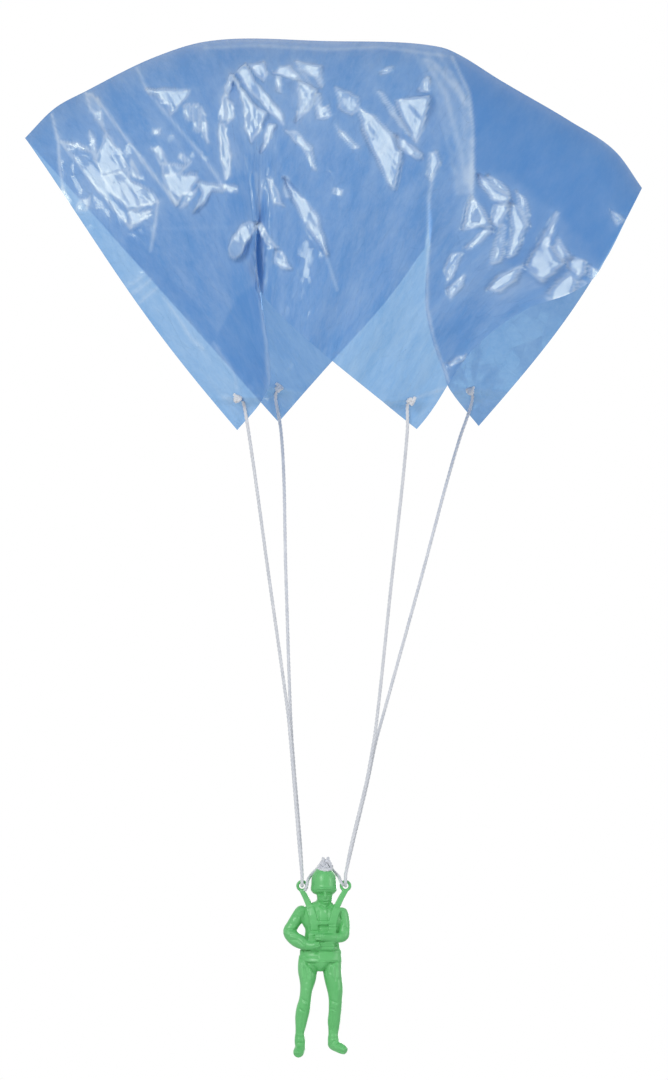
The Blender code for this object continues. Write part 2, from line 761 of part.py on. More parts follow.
def make_paratrooper(pivot, parts, cutters, finish):
    middle = pivot.location
    work = bmesh.new()
    for sections, sides in FIGURE_FORMS:
        add_form(work, sections, sides)
    bmesh.ops.recalc_face_normals(work, faces=work.faces)
    rough = bpy.data.meshes.new("paratrooper_forms")
    work.to_mesh(rough)
    work.free()
    shape = bpy.data.objects.new("paratrooper_forms", rough)
    bpy.context.scene.collection.objects.link(shape)
    remesh = shape.modifiers.new("One moulding", "REMESH")
    remesh.mode = "VOXEL"
    remesh.voxel_size = FIGURE_VOXEL
    thin = shape.modifiers.new("Fewer faces", "DECIMATE")
    thin.ratio = FIGURE_KEPT_SHARE
    mesh = evaluated_mesh(shape)
    bpy.data.objects.remove(shape)
    biggest_shell(mesh)
    mesh.shade_smooth()
    figure = add_object("paratrooper", mesh, parts, finish)
    figure.parent = pivot
    for side in (-1, 1):
        bpy.ops.mesh.primitive_torus_add(
            major_radius=RING_RADIUS,
            minor_radius=RING_WIRE_RADIUS,
            major_segments=RING_SIDES,
            minor_segments=RING_WIRE_SIDES,
            location=middle + Vector((side * RING_SPACING / 2, 0, -RING_RADIUS)),
            rotation=(math.pi / 2, 0, 0),
        )
        ring = bpy.context.object
        ring.name = "ring_form_left" if side < 0 else "ring_form_right"
        move_to_cutters(ring, cutters)
        join = figure.modifiers.new("Shoulder ring", "BOOLEAN")
        join.operation = "UNION"
        join.solver = "EXACT"
        join.object = ring
    for foot in ("left", "right"):
        bpy.ops.mesh.primitive_cube_add(size=1)
        block = bpy.context.object
        block.name = f"sole_cut_{foot}"
        lower = Matrix.Translation((0, 0, -SOLE_CUT_DEPTH / 2))
        size = Matrix.Diagonal((SOLE_CUT, SOLE_CUT, SOLE_CUT_DEPTH, 1))
        block.data.transform(size)
        block.matrix_world = Matrix.Translation(middle) @ sole_matrix(foot) @ lower
        move_to_cutters(block, cutters)
        cut = figure.modifiers.new("Flat sole", "BOOLEAN")
        cut.operation = "DIFFERENCE"
        cut.solver = "EXACT"
        cut.object = block
    return figure


# The string tied over the helmet

HEAD_KNOT_PX = (325.6, 861.6, -2.0)
LEFT_STRAND_PX = [
    (306.9, 888.4, -5.8),
    (306.9, 884.4, -5.9),
    (308.0, 880.2, -3.8),
    (308.8, 878.6, 1.0),
    (310.4, 876.6, 5.6),
    (312.8, 873.6, 9.4),
    (317.2, 869.2, 8.8),
    (320.4, 865.4, 5.4),
]
RIGHT_STRAND_PX = [
    (340.8, 882.6, -5.6),
    (339.8, 879.2, -2.6),
    (338.8, 876.8, 3.0),
    (337.4, 875.4, 6.4),
    (335.2, 873.4, 9.4),
    (331.6, 869.2, 8.8),
    (330.4, 865.4, 5.4),
]


def make_lashing(pivot, parts, finish):
    lump = knot_mesh("head_knot", HEAD_KNOT_WIDTH, HEAD_KNOT_HEIGHT)
    knot = add_object("head_knot", lump, parts, finish)
    knot.parent = pivot
    knot.location = figure_point(*HEAD_KNOT_PX)
    for name, route in (
        ("neck_strand_left", LEFT_STRAND_PX),
        ("neck_strand_right", RIGHT_STRAND_PX),
    ):
        points = [figure_point(*place) for place in route]
        tube(name, resampled(points, LINE_DIAMETER), pivot, parts, finish)


def main():
    clear_scene()
    parts = new_collection("toy_parachute")
    cutters = new_collection("cutters")
    film = new_material("blue_film", (0.10, 0.26, 0.62), 0.15, transmission=0.6)
    string = new_material("white_string", (0.72, 0.73, 0.80), 0.85)
    moulding = new_material("green_polythene", (0.14, 0.53, 0.17), 0.35)
    crown = new_pivot("crown_axis", Vector(), parts)
    rings = new_pivot("ring_axis", ring_axis_place(), parts)
    make_canopy(parts, cutters, film)
    make_corner_knots(crown, parts, string)
    make_lines(crown, parts, string)
    make_hitches(rings, parts, string)
    make_paratrooper(rings, parts, cutters, moulding)
    make_lashing(rings, parts, string)


main()
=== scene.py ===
"""Looks of the toy parachute: thin blue film, twisted white string and a green moulded figure.

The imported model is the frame. Every piece here is made in its place, in metres, with +Z up and
-Y towards the front of the figure, so that the crown of the canopy is the origin.
"""

import math

import bmesh
import bpy
import numpy as np
from mathutils import Matrix, Vector, noise


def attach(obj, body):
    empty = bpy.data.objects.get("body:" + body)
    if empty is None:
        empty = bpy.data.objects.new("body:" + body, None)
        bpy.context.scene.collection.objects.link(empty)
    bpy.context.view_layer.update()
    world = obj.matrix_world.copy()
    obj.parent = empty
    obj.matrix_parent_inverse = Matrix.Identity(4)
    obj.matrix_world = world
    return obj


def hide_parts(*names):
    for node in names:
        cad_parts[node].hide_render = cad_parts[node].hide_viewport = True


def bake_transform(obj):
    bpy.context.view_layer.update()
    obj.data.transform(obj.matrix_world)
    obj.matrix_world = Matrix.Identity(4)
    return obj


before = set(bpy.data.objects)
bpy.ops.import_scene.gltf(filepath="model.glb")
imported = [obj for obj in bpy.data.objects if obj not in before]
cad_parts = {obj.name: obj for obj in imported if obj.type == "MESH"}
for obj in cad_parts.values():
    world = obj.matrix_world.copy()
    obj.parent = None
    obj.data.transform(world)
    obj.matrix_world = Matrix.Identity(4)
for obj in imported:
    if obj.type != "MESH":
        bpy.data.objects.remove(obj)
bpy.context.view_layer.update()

MM = 0.001

# Camera
# The toy hangs before a long lens that looks straight at it, level with the middle of the picture.
# A pixel of the photograph is 0.26 mm at the plane of the hanging figure.

PIXEL = 0.26 * MM
PHOTO_MIDDLE_PX = (334.0, 540.0)
PHOTO_HEIGHT_PX = 1080.0
CROWN_PX = (322.6, 41.0)
CAMERA_DISTANCE = 2400 * MM
SENSOR = 36.0


def add_object(name, data):
    """An object at the origin, in the scene."""
    made = bpy.data.objects.new(name, data)
    bpy.context.scene.collection.objects.link(made)
    return made


def photo_place(across_px, down_px, depth=0.0):
    """The place of a pixel of the photograph on the plane at some depth behind the figure."""
    return Vector(((across_px - CROWN_PX[0]) * PIXEL, depth, (CROWN_PX[1] - down_px) * PIXEL))


camera_data = bpy.data.cameras.new("camera")
camera_data.sensor_width = SENSOR
camera_data.lens = SENSOR * CAMERA_DISTANCE / (PHOTO_HEIGHT_PX * PIXEL)
camera = add_object("camera", camera_data)
camera.location = photo_place(*PHOTO_MIDDLE_PX, -CAMERA_DISTANCE)
camera.rotation_euler = (math.radians(90), 0, 0)
bpy.context.scene.camera = camera

# Suspension lines
# Four lengths of soft white string, three plies laid together, 0.9 mm thick and about 130 mm
# long from corner knot to shoulder ring. They hang nearly straight under the figure's weight.

LINE_DIAMETER = 0.9 * MM
PLIES = 3
PLY_DIAMETER = 0.50 * MM
LAY_RADIUS = 0.21 * MM
TURN_LENGTH = 3.4 * MM
STRING_STEP = 0.34 * MM
PLY_SIDES = 8
PATCH_SPACING = 2.38 * MM
# Real fibres are about 0.02 mm wide. These are drawn coarser, so that they show.
FIBRE_SPACING = 0.16 * MM
FIBRE_HEIGHT = 0.06 * MM
FINE_POINTS = 400
PATH_STEP = 2.0 * MM

# Routes of the four lines, from knot to ring, in millimetres
LINE_ROUTES_MM = {
    "front_left": [
        (-21.38, -22.19, -93.23), (-21.08, -21.25, -93.06), (-20.75, -20.41, -93.3),
        (-20.4, -19.76, -94.2), (-20.1, -19.45, -95.6), (-19.6, -19.5, -98.6),
        (-18.9, -19.1, -103), (-13.8, -9.9, -140), (-9.43, -1.98, -171.5),
        (-8.85, -1.02, -176), (-8.42, -0.74, -181), (-7.98, -0.72, -186),
        (-6.0, -0.75, -210), (-5.34, -1.15, -216.8),
    ],
    "front_right": [
        (22.7, -22.68, -93.91), (22.36, -21.78, -93.64), (22.04, -20.97, -93.8),
        (21.85, -20.34, -94.6), (21.85, -19.9, -96.0), (21.95, -19.4, -100),
        (21.7, -18.7, -104), (17.7, -9.8, -142), (14.04, -1.93, -176.7),
        (13.45, -1.02, -181.2), (12.6, -0.74, -186.2), (11.7, -0.72, -191.2),
        (7.25, -0.75, -210), (5.96, -1.15, -216.8),
    ],
    "back_left": [
        (-11.7, 22.16, -90.08), (-12.03, 23.07, -90.32), (-12.32, 23.89, -90.9),
        (-12.45, 24.53, -92.0), (-12.25, 24.5, -93.6), (-11.6, 23.2, -97.0),
        (-10.95, 21.5, -101), (-9.6, 11.2, -139), (-8.5, 2.1, -171.5),
        (-8.3, 1.06, -176), (-8.02, 0.75, -181), (-7.66, 0.72, -186),
        (-5.72, 0.75, -210), (-5.34, 1.15, -216.8),
    ],
    "back_right": [
        (38.93, 22.17, -90.96), (39.2, 23.11, -91.18), (39.4, 23.95, -91.75),
        (39.34, 24.55, -92.85), (38.9, 24.5, -94.6), (37.7, 23.2, -98.2),
        (36.3, 21.5, -102), (25.1, 11.1, -142), (15.38, 2.05, -176.7),
        (14.1, 1.06, -181.2), (13.0, 0.75, -186.2), (12.0, 0.72, -191.2),
        (7.52, 0.75, -210), (5.96, 1.15, -216.8),
    ],
}


def linear(code):
    """A colour written as an sRGB hex code, as the linear numbers that a shader reads."""
    shares = [int(code[k : k + 2], 16) / 255 for k in (0, 2, 4)]
    return (*(s / 12.92 if s <= 0.04045 else ((s + 0.055) / 1.055) ** 2.4 for s in shares), 1.0)


def node(tree, kind, inputs=(), **settings):
    """Adds a node. Each of its inputs gets a value, or a link where an output is given or a node,
    which stands for its first output."""
    made = tree.nodes.new(kind)
    for key, value in settings.items():
        setattr(made, key, value)
    for key, value in dict(inputs).items():
        if isinstance(value, bpy.types.Node):
            value = value.outputs[0]
        if isinstance(value, bpy.types.NodeSocket):
            tree.links.new(value, made.inputs[key])
        else:
            made.inputs[key].default_value = value
    return made


def new_finish(name):
    """A material with nothing in it yet, and its tree."""
    made = bpy.data.materials.new(name)
    made.use_nodes = True
    made.node_tree.nodes.clear()
    return made, made.node_tree


def make_string_finish():
    """Bleached cotton string: matt and a little fuzzy, with faint grey patches."""
    made, tree = new_finish("bleached cotton string")
    along = node(tree, "ShaderNodeAttribute", attribute_name="along")
    place = node(tree, "ShaderNodeTexCoord")
    patch = node(tree, "ShaderNodeTexNoise", {"Vector": place.outputs["Object"], "Scale": 1 / PATCH_SPACING})
    shade = node(tree, "ShaderNodeMix", {"Factor": patch, 6: linear("CDD2DC"), 7: linear("F0F2F6")},
                 data_type="RGBA")
    fibres = node(tree, "ShaderNodeTexNoise",
                  {"Vector": place.outputs["Object"], "Scale": 1 / FIBRE_SPACING, "Detail": 4.0})
    ripple = node(tree, "ShaderNodeMath", {0: along.outputs["Fac"], 1: 2 * math.pi / FIBRE_SPACING},
                  operation="MULTIPLY")
    wave = node(tree, "ShaderNodeMath", {0: ripple}, operation="SINE")
    rough = node(tree, "ShaderNodeMath", {0: wave, 1: 0.25, 2: fibres}, operation="MULTIPLY_ADD")
    bump = node(tree, "ShaderNodeBump", {"Strength": 0.5, "Distance": FIBRE_HEIGHT, "Height": rough})
    shader = node(
        tree,
        "ShaderNodeBsdfPrincipled",
        {
            "Base Color": shade.outputs[2],
            "Roughness": 0.88,
            "Sheen Weight": 0.25,
            "Sheen Roughness": 0.5,
            "Normal": bump,
        },
    )
    node(tree, "ShaderNodeOutputMaterial", {"Surface": shader})
    return made


def make_string_tree():
    """Geometry nodes that lay plies of yarn round a route, as string is laid."""
    tree = bpy.data.node_groups.new("laid string", "GeometryNodeTree")
    sockets = tree.interface
    sockets.new_socket("Route", in_out="INPUT", socket_type="NodeSocketGeometry")
    for name, kind in (
        ("Plies", "NodeSocketInt"),
        ("Ply Diameter", "NodeSocketFloat"),
        ("Lay Radius", "NodeSocketFloat"),
        ("Turn Length", "NodeSocketFloat"),
        ("Step", "NodeSocketFloat"),
        ("Finish", "NodeSocketMaterial"),
    ):
        sockets.new_socket(name, in_out="INPUT", socket_type=kind)
    sockets.new_socket("String", in_out="OUTPUT", socket_type="NodeSocketGeometry")
    given = node(tree, "NodeGroupInput").outputs
    even = node(tree, "GeometryNodeResampleCurve", {"Curve": given["Route"], "Length": given["Step"]},
                mode="LENGTH")
    reached = node(tree, "GeometryNodeSplineParameter")
    marked = node(
        tree,
        "GeometryNodeStoreNamedAttribute",
        {"Geometry": even, "Name": "along", "Value": reached.outputs["Length"]},
        data_type="FLOAT",
        domain="POINT",
    )
    plies = node(tree, "GeometryNodeDuplicateElements", {"Geometry": marked, "Amount": given["Plies"]},
                 domain="SPLINE")
    turns = node(tree, "ShaderNodeMath", {0: reached.outputs["Length"], 1: given["Turn Length"]},
                 operation="DIVIDE")
    lead = node(tree, "ShaderNodeMath", {0: plies.outputs["Duplicate Index"], 1: given["Plies"]},
                operation="DIVIDE")
    both = node(tree, "ShaderNodeMath", {0: turns, 1: lead})
    angle = node(tree, "ShaderNodeMath", {0: both, 1: 2 * math.pi}, operation="MULTIPLY")
    normal = node(tree, "GeometryNodeInputNormal")
    tangent = node(tree, "GeometryNodeInputTangent")
    beside = node(tree, "ShaderNodeVectorMath", {0: tangent, 1: normal}, operation="CROSS_PRODUCT")
    offsets = []
    for way, turn in ((normal, "COSINE"), (beside, "SINE")):
        share = node(tree, "ShaderNodeMath", {0: angle}, operation=turn)
        reach = node(tree, "ShaderNodeMath", {0: share, 1: given["Lay Radius"]}, operation="MULTIPLY")
        offsets.append(node(tree, "ShaderNodeVectorMath", {0: way, "Scale": reach}, operation="SCALE"))
    offset = node(tree, "ShaderNodeVectorMath", {0: offsets[0], 1: offsets[1]})
    laid = node(tree, "GeometryNodeSetPosition", {"Geometry": plies, "Offset": offset})
    half = node(tree, "ShaderNodeMath", {0: given["Ply Diameter"], 1: 0.5}, operation="MULTIPLY")
    section = node(tree, "GeometryNodeCurvePrimitiveCircle", {"Resolution": PLY_SIDES, "Radius": half})
    yarn = node(tree, "GeometryNodeCurveToMesh",
                {"Curve": laid, "Profile Curve": section, "Fill Caps": True})
    whole = node(tree, "GeometryNodeRealizeInstances", {"Geometry": yarn})
    painted = node(tree, "GeometryNodeSetMaterial", {"Geometry": whole, "Material": given["Finish"]})
    node(tree, "NodeGroupOutput", {"String": painted})
    return tree


def smooth_through(keys, at, corners=()):
    """A curve through given keys, with a sharp turn at each key listed in corners."""
    shares = [key[0] for key in keys]
    values = np.array([key[1:] for key in keys], dtype=float)
    last = len(keys) - 1
    k = min(max(int(np.searchsorted(shares, at, side="right")) - 1, 0), last - 1)
    span = shares[k + 1] - shares[k]
    f = (at - shares[k]) / span
    chords = [(values[i + 1] - values[i]) / (shares[i + 1] - shares[i]) for i in range(last)]

    def slope(i):
        if i in (0, last) or i in corners:
            return chords[k]
        return (chords[i - 1] + chords[i]) / 2

    start_weight = 2 * f**3 - 3 * f**2 + 1
    start_slope = (f**3 - 2 * f**2 + f) * span
    end_slope = (f**3 - f**2) * span
    return (
        start_weight * values[k]
        + start_slope * slope(k)
        + (1 - start_weight) * values[k + 1]
        + end_slope * slope(k + 1)
    )


def resampled(points, step):
    """Points at an even step on a smooth curve through the route's own points."""
    reached = np.cumsum([0.0] + [(b - a).length for a, b in zip(points, points[1:])])
    keys = [(s, *p) for s, p in zip(reached, points)]
    fine = [Vector(smooth_through(keys, s)) for s in np.linspace(0.0, reached[-1], FINE_POINTS)]
    lengths = np.cumsum([0.0] + [(b - a).length for a, b in zip(fine, fine[1:])])
    count = max(2, round(lengths[-1] / step))
    places = np.linspace(0.0, lengths[-1], count + 1)
    flat = np.array(fine)
    return [Vector([np.interp(s, lengths, flat[:, a]) for a in range(3)]) for s in places]


def evaluated_mesh(made):
    """The mesh that an object's modifiers make of it."""
    graph = bpy.context.evaluated_depsgraph_get()
    return bpy.data.meshes.new_from_object(made.evaluated_get(graph))


string_finish = make_string_finish()
string_tree = make_string_tree()


def lay_string(name, routes, turn_length=TURN_LENGTH):
    """A piece of string along each route, as one plain mesh."""
    curve = bpy.data.curves.new(name, "CURVE")
    curve.dimensions = "3D"
    for points in routes:
        spline = curve.splines.new("POLY")
        spline.points.add(len(points) - 1)
        for slot, point in zip(spline.points, points):
            slot.co = (*point, 1.0)
    guide = add_object(name + "_route", curve)
    modifier = guide.modifiers.new("Laid", "NODES")
    modifier.node_group = string_tree
    values = {
        "Plies": PLIES,
        "Ply Diameter": PLY_DIAMETER,
        "Lay Radius": LAY_RADIUS,
        "Turn Length": turn_length,
        "Step": STRING_STEP,
        "Finish": string_finish,
    }
    for item in string_tree.interface.items_tree:
        if item.in_out == "INPUT" and item.name in values:
            modifier[item.identifier] = values[item.name]
    bpy.context.view_layer.update()
    mesh = evaluated_mesh(guide)
    bpy.data.objects.remove(guide)
    mesh.shade_smooth()
    made = add_object(name, mesh)
    return made


lines = {}
line_paths = {}
for corner, route in LINE_ROUTES_MM.items():
    path = resampled([Vector(place) * MM for place in route], PATH_STEP)
    line_paths[corner] = path
    lines[corner] = lay_string(f"suspension_line_{corner}", [path])
    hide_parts(f"line_{corner}")

# Canopy film
# One square of blue polythene about 180 mm on a side, blown 0.03 mm thick. It is hung over its
# crown, pinched once in front and once behind, and still holds the creases it was packed with.

FLAT_SIDE = 180 * MM
CANOPY_BULGE = 33.0 * MM
FOLD_DEPTH = 20.0 * MM
RIPPLE_HEIGHT = 0.9 * MM
SIDE_SWELL = 4.2 * MM
LEFT_SWELL = 2.4 * MM
LEFT_SWELL_SHARE = 0.25
LEFT_SWELL_EXPONENT = 1.4
RIGHT_SWELL_SHARE = 0.72
FILM_COLUMNS = 300
FRONT_ROWS = 190
BACK_ROWS = 130
ROW_EXPONENT = 1.25
SLOPE_STEP_SHARE = 0.01
FRONT_FOLD_SHARES = (8 / 26, 10 / 26, 12 / 26)
BACK_FOLD_SHARES = (15 / 26, 17 / 26, 19 / 26)
GATHER_SHARE = 0.9
GATHER_WIDTH_SHARE = 0.2
FOLD_EXPONENT = 8.0
FOLD_LAY = 4.0 * MM
LIP_OVERLAP = 0.8 * MM
LIP_SHARE = 0.035
RIDGE_FOLD_SHARE = 0.012
RIPPLE_WAVES = 7
SWELL_START_SHARE = 0.8
# How far the front half's right edge swells out, in pixels, at shares of the way down
RIGHT_SWELL_PX = [(0.0, 0), (0.13, 13), (0.3, 30), (0.4, 35), (0.45, 24), (0.5, 0), (1.0, 0)]

# Ridge: column share of the sheet, then pixels across and down
RIDGE_PX = [
    (0.000, 25, 138),
    (0.060, 55, 108),
    (0.112, 86, 91),
    (0.226, 155, 57),
    (0.303, 206, 41.5),
    (0.478, 325, 41),
    (0.640, 440, 47),
    (0.672, 458, 54),
    (0.740, 500, 80),
    (0.860, 570, 121),
    (0.944, 616, 152),
    (1.000, 642, 188),
]
# Hems: column share, pixels across and down, and share of the bulge
FRONT_HEM_PX = [
    (0.000, 238, 431, 0.60),
    (0.100, 263, 401, 0.73),
    (0.160, 271, 382, 0.84),
    (0.240, 267, 332, 0.95),
    (FRONT_FOLD_SHARES[0], 259, 298, 1.03),
    (FRONT_FOLD_SHARES[1], 262, 270, 1.00),
    (FRONT_FOLD_SHARES[2], 264.5, 299, 0.98),
    (0.520, 279, 316, 1.00),
    (0.600, 305, 340, 1.00),
    (0.700, 332, 363, 0.95),
    (0.850, 372, 395, 0.80),
    (1.000, 416, 430, 0.60),
]
BACK_HEM_PX = [
    (0.000, 278, 421, 0.60),
    (0.200, 326, 366, 0.86),
    (0.400, 385, 300, 1.00),
    (BACK_FOLD_SHARES[0], 426, 244, 0.98),
    (BACK_FOLD_SHARES[1], 429, 222, 1.00),
    (BACK_FOLD_SHARES[2], 431.5, 243, 1.03),
    (0.780, 427, 276, 1.00),
    (0.830, 427, 307, 0.98),
    (0.880, 434, 340, 0.90),
    (0.930, 445, 371, 0.80),
    (0.960, 451, 388, 0.74),
    (1.000, 480, 425, 0.60),
]
# Each corner's knot: which half of the film, then its column share and row share
CORNERS = {
    "front_left": (-1, 0.050, 0.945),
    "front_right": (-1, 0.940, 0.947),
    "back_left": (1, 0.058, 0.940),
    "back_right": (1, 0.977, 0.947),
}
EYELET_RADIUS = 0.6 * MM

# Facets of the crumpled front half that face the left lamp, as outlines in pixels
FACETS_PX = [
    [(85, 93), (91, 95), (98, 101), (103, 118), (107, 135), (99, 124), (91, 109)],
    [(107, 134), (120, 153), (129, 171), (104, 177), (96, 160), (103, 150)],
    [(104, 178), (129, 173), (131, 183), (147, 190), (160, 204), (132, 213), (112, 194)],
    [(131, 213), (142, 216), (152, 213), (142, 225), (133, 230)],
    [(63, 143), (90, 149), (91, 154), (72, 147)],
    [(91, 133), (95, 140), (98, 160), (92, 154)],
    [(78, 211), (82, 203), (92, 199), (88, 213)],
    [(63, 189), (70, 203), (64, 199)],
    [(132, 162), (139, 175), (141, 181), (133, 177)],
    [(147, 92), (191, 93), (186, 102), (172, 118), (168, 106), (157, 98)],
    [(185, 108), (191, 107), (191, 124), (187, 122)],
    [(194, 107), (199, 107), (200, 135), (195, 133)],
    [(202, 110), (206, 118), (209, 146), (203, 134)],
    [(154, 132), (161, 132), (160, 136), (154, 136)],
    [(181, 156), (193, 165), (190, 168), (180, 160)],
    [(152, 151), (161, 150), (169, 167), (162, 168), (156, 155)],
    [(164, 166), (189, 169), (183, 176), (163, 179)],
    [(163, 178), (198, 177), (199, 184), (184, 200), (178, 208), (166, 186)],
    [(182, 211), (187, 202), (200, 189), (197, 196), (186, 209)],
    [(199, 186), (213, 188), (239, 190), (238, 195), (213, 194), (205, 206), (195, 215),
     (204, 197)],
    [(231, 77), (234, 80), (228, 105), (227, 122), (221, 125), (224, 100)],
    [(220, 127), (225, 129), (232, 158), (231, 178), (226, 184), (222, 160)],
    [(228, 103), (233, 108), (236, 121), (229, 127)],
    [(234, 79), (248, 101), (258, 112), (266, 117), (262, 131), (252, 146), (246, 132),
     (245, 108)],
    [(238, 76), (246, 67), (257, 87), (270, 103), (283, 118), (284, 128), (271, 116),
     (252, 95)],
    [(250, 68), (264, 66), (267, 76), (264, 85), (257, 78)],
    [(269, 129), (275, 130), (269, 147), (262, 156)],
    [(277, 79), (281, 80), (281, 96), (277, 95)],
    [(274, 76), (281, 70), (290, 69), (304, 86), (290, 80)],
    [(298, 84), (316, 93), (312, 110), (303, 118), (296, 125), (300, 110)],
    [(297, 65), (321, 69), (322, 91), (314, 79), (300, 71)],
    [(316, 98), (320, 97), (322, 122), (317, 123)],
    [(322, 113), (328, 109), (331, 119), (326, 121)],
    [(287, 135), (297, 136), (312, 152), (315, 173), (306, 157), (295, 144)],
    [(268, 183), (273, 185), (284, 210), (275, 207)],
    [(284, 181), (289, 183), (292, 201), (286, 201)],
    [(285, 183), (303, 202), (318, 220), (327, 258), (310, 233), (295, 208)],
    [(232, 246), (237, 237), (243, 229), (250, 225), (256, 227), (254, 236), (248, 246),
     (243, 256), (237, 262), (231, 259), (230, 252)],
    [(257, 228), (262, 228), (270, 240), (277, 252), (272, 252), (263, 241)],
    [(276, 254), (282, 256), (292, 273), (284, 272), (275, 267)],
    [(336, 91), (358, 101), (359, 111), (352, 119), (340, 112)],
    [(358, 110), (373, 120), (398, 145), (401, 156), (393, 193), (384, 180), (364, 137)],
    [(396, 139), (421, 158), (419, 163), (399, 152)],
    [(396, 104), (429, 99), (422, 130), (416, 146), (402, 127)],
    [(378, 95), (383, 96), (404, 130), (408, 138), (395, 124)],
    [(419, 94), (423, 84), (428, 80), (429, 94)],
    [(380, 74), (391, 70), (391, 73), (381, 77)],
    [(429, 157), (436, 155), (438, 166), (430, 184), (427, 178)],
    [(334, 193), (342, 195), (341, 199), (334, 197)],
    [(335, 129), (353, 146), (358, 151), (352, 152), (340, 139)],
    [(477, 177), (492, 189), (508, 200), (505, 208), (490, 201), (479, 186)],
    [(487, 178), (503, 189), (508, 197), (496, 191)],
    [(470, 199), (479, 209), (491, 231), (478, 229), (462, 232), (466, 214)],
    [(494, 208), (508, 207), (497, 230), (490, 226)],
    [(501, 226), (504, 230), (500, 264), (490, 266), (494, 246)],
    [(508, 205), (521, 214), (524, 230), (514, 255), (506, 260), (511, 235)],
    [(515, 194), (526, 205), (526, 228), (520, 216)],
    [(485, 231), (490, 234), (468, 252), (464, 250), (476, 239)],
    [(449, 257), (460, 256), (452, 277), (446, 286), (445, 270)],
    [(463, 278), (460, 289), (450, 301), (447, 290)],
    [(486, 291), (494, 280), (521, 267), (514, 282), (499, 293)],
    [(556, 215), (547, 247), (564, 264), (541, 284), (524, 268), (540, 240)],
    [(557, 240), (568, 260), (560, 263), (553, 250)],
    [(519, 340), (546, 328), (546, 332), (520, 344)],
    [(511, 353), (537, 348), (537, 352), (512, 357)],
    [(448, 364), (464, 356), (464, 360), (449, 368)],
    [(564, 262), (573, 259), (584, 264), (583, 276), (578, 279), (568, 270)],
    [(567, 275), (576, 283), (570, 296), (548, 302), (546, 296), (558, 281)],
    [(579, 282), (586, 284), (580, 295), (574, 296)],
    [(587, 267), (599, 274), (591, 286)],
    [(611, 213), (624, 222), (615, 227)],
]
FACET_RIM_PX = 2.5
FACET_WANDER_PX = 1.6
FACET_TILT = 0.05
FACET_RANGE = 3.0 * MM

# Crease lines: how white, half width in pixels, height in millimetres, then the places in pixels.
# The white is the film's whitening along its folds and also a painted highlight along each line.
CREASES_PX = [
    (0.60, 1.7, 0.14, [(52, 115), (59, 142), (61, 170), (66, 202)]),
    (0.55, 1.7, 0.14, [(62, 143), (75, 160), (100, 192), (132, 230)]),
    (0.60, 1.7, 0.14, [(98, 100), (115, 124), (145, 165), (178, 207)]),
    (0.40, 1.7, 0.12, [(137, 68), (148, 93), (172, 122), (200, 155), (226, 192)]),
    (0.45, 1.7, 0.10, [(159, 204), (157, 225), (152, 253)]),
    (0.35, 1.7, 0.10, [(264, 185), (262, 197), (258, 228)]),
    (0.40, 1.7, 0.10, [(325, 256), (337, 293)]),
    (0.35, 1.7, 0.10, [(298, 71), (305, 79), (311, 88)]),
    (0.10, 2.2, 0.08, [(165, 231), (235, 231)]),
    (0.30, 1.9, 0.10, [(133, 296), (152, 282)]),
    (0.30, 1.9, 0.10, [(140, 305), (158, 290)]),
    (0.25, 1.9, 0.10, [(128, 289), (147, 276)]),
    (0.30, 1.9, 0.10, [(165, 300), (180, 320), (192, 340), (204, 350)]),
    (0.25, 1.9, 0.10, [(215, 345), (235, 375), (238, 390)]),
    (0.30, 2.2, 0.10, [(236, 402), (225, 398)]),
    (0.35, 3.2, 0.15, [(428, 59), (455, 90), (469, 112), (470, 191)]),
    (0.28, 3.2, 0.15, [(425, 63), (445, 97), (458, 147), (466, 185)]),
    (0.22, 2.6, 0.12, [(438, 54), (462, 96), (464, 150)]),
    (0.20, 2.6, 0.12, [(415, 56), (436, 100), (448, 150), (456, 196)]),
    (0.45, 1.8, 0.12, [(452, 58), (468, 95), (472, 130), (471, 205)]),
    (0.50, 1.8, 0.12, [(432, 178), (428, 202), (427, 250), (426, 310), (434, 345), (450, 388)]),
    (0.30, 2.0, 0.10, [(257, 178), (262, 228), (261, 300), (266, 340), (271, 390)]),
    (0.30, 2.2, 0.10, [(205, 49), (260, 47), (325, 51), (380, 48), (445, 57)]),
    (0.30, 1.9, 0.08, [(409, 402), (424, 396), (449, 388)]),
]

# Places made whiter: how white, soft edge, outline in pixels. Most are scuffed whiter by many
# small creases; the first is painted light that lifts the shade inside the pinched front fold.
HAZE_AND_PAINTED_LIGHT_PX = [
    # Painted light over the shade of the pinched front fold
    (0.42, 3, [(257, 226), (263, 226), (266, 262), (265, 297), (258, 297), (256, 262)]),
    (0.22, 6, [(424, 60), (452, 74), (468, 100), (471, 200), (458, 196), (450, 140)]),
    (0.10, 12, [(52, 120), (95, 92), (180, 205), (150, 228), (66, 205)]),
    (0.10, 14, [(220, 70), (320, 62), (325, 130), (250, 160), (220, 190)]),
    (0.10, 12, [(455, 180), (510, 175), (570, 230), (600, 262), (560, 302), (450, 300)]),
    (0.10, 8, [(125, 278), (155, 275), (262, 400), (236, 425)]),
]

# Smoother places painted a deeper blue: how deep, soft edge, outline in pixels. On the right
# panel the deeper blue is painted shade, where the film faces away from the lamp; the other
# places darken wedges beside the pinched front fold.
DEEP_BLUE_AND_SHADE_PX = [
    # Painted shade: the right panel, which faces away from the lamp
    (1.00, 7, [(450, 52), (470, 95), (473, 150), (472, 205), (505, 265), (560, 300),
               (605, 262), (645, 190), (610, 148), (560, 112), (500, 72)]),
    (0.55, 8, [(225, 182), (258, 178), (262, 232), (230, 236)]),
    (0.75, 5, [(262, 282), (268, 340), (264, 402), (240, 376), (216, 341), (238, 300)]),
    (0.55, 5, [(125, 235), (150, 252), (170, 278), (196, 305), (222, 340), (262, 398),
               (248, 398), (228, 365), (190, 320), (150, 283), (131, 258)]),
]


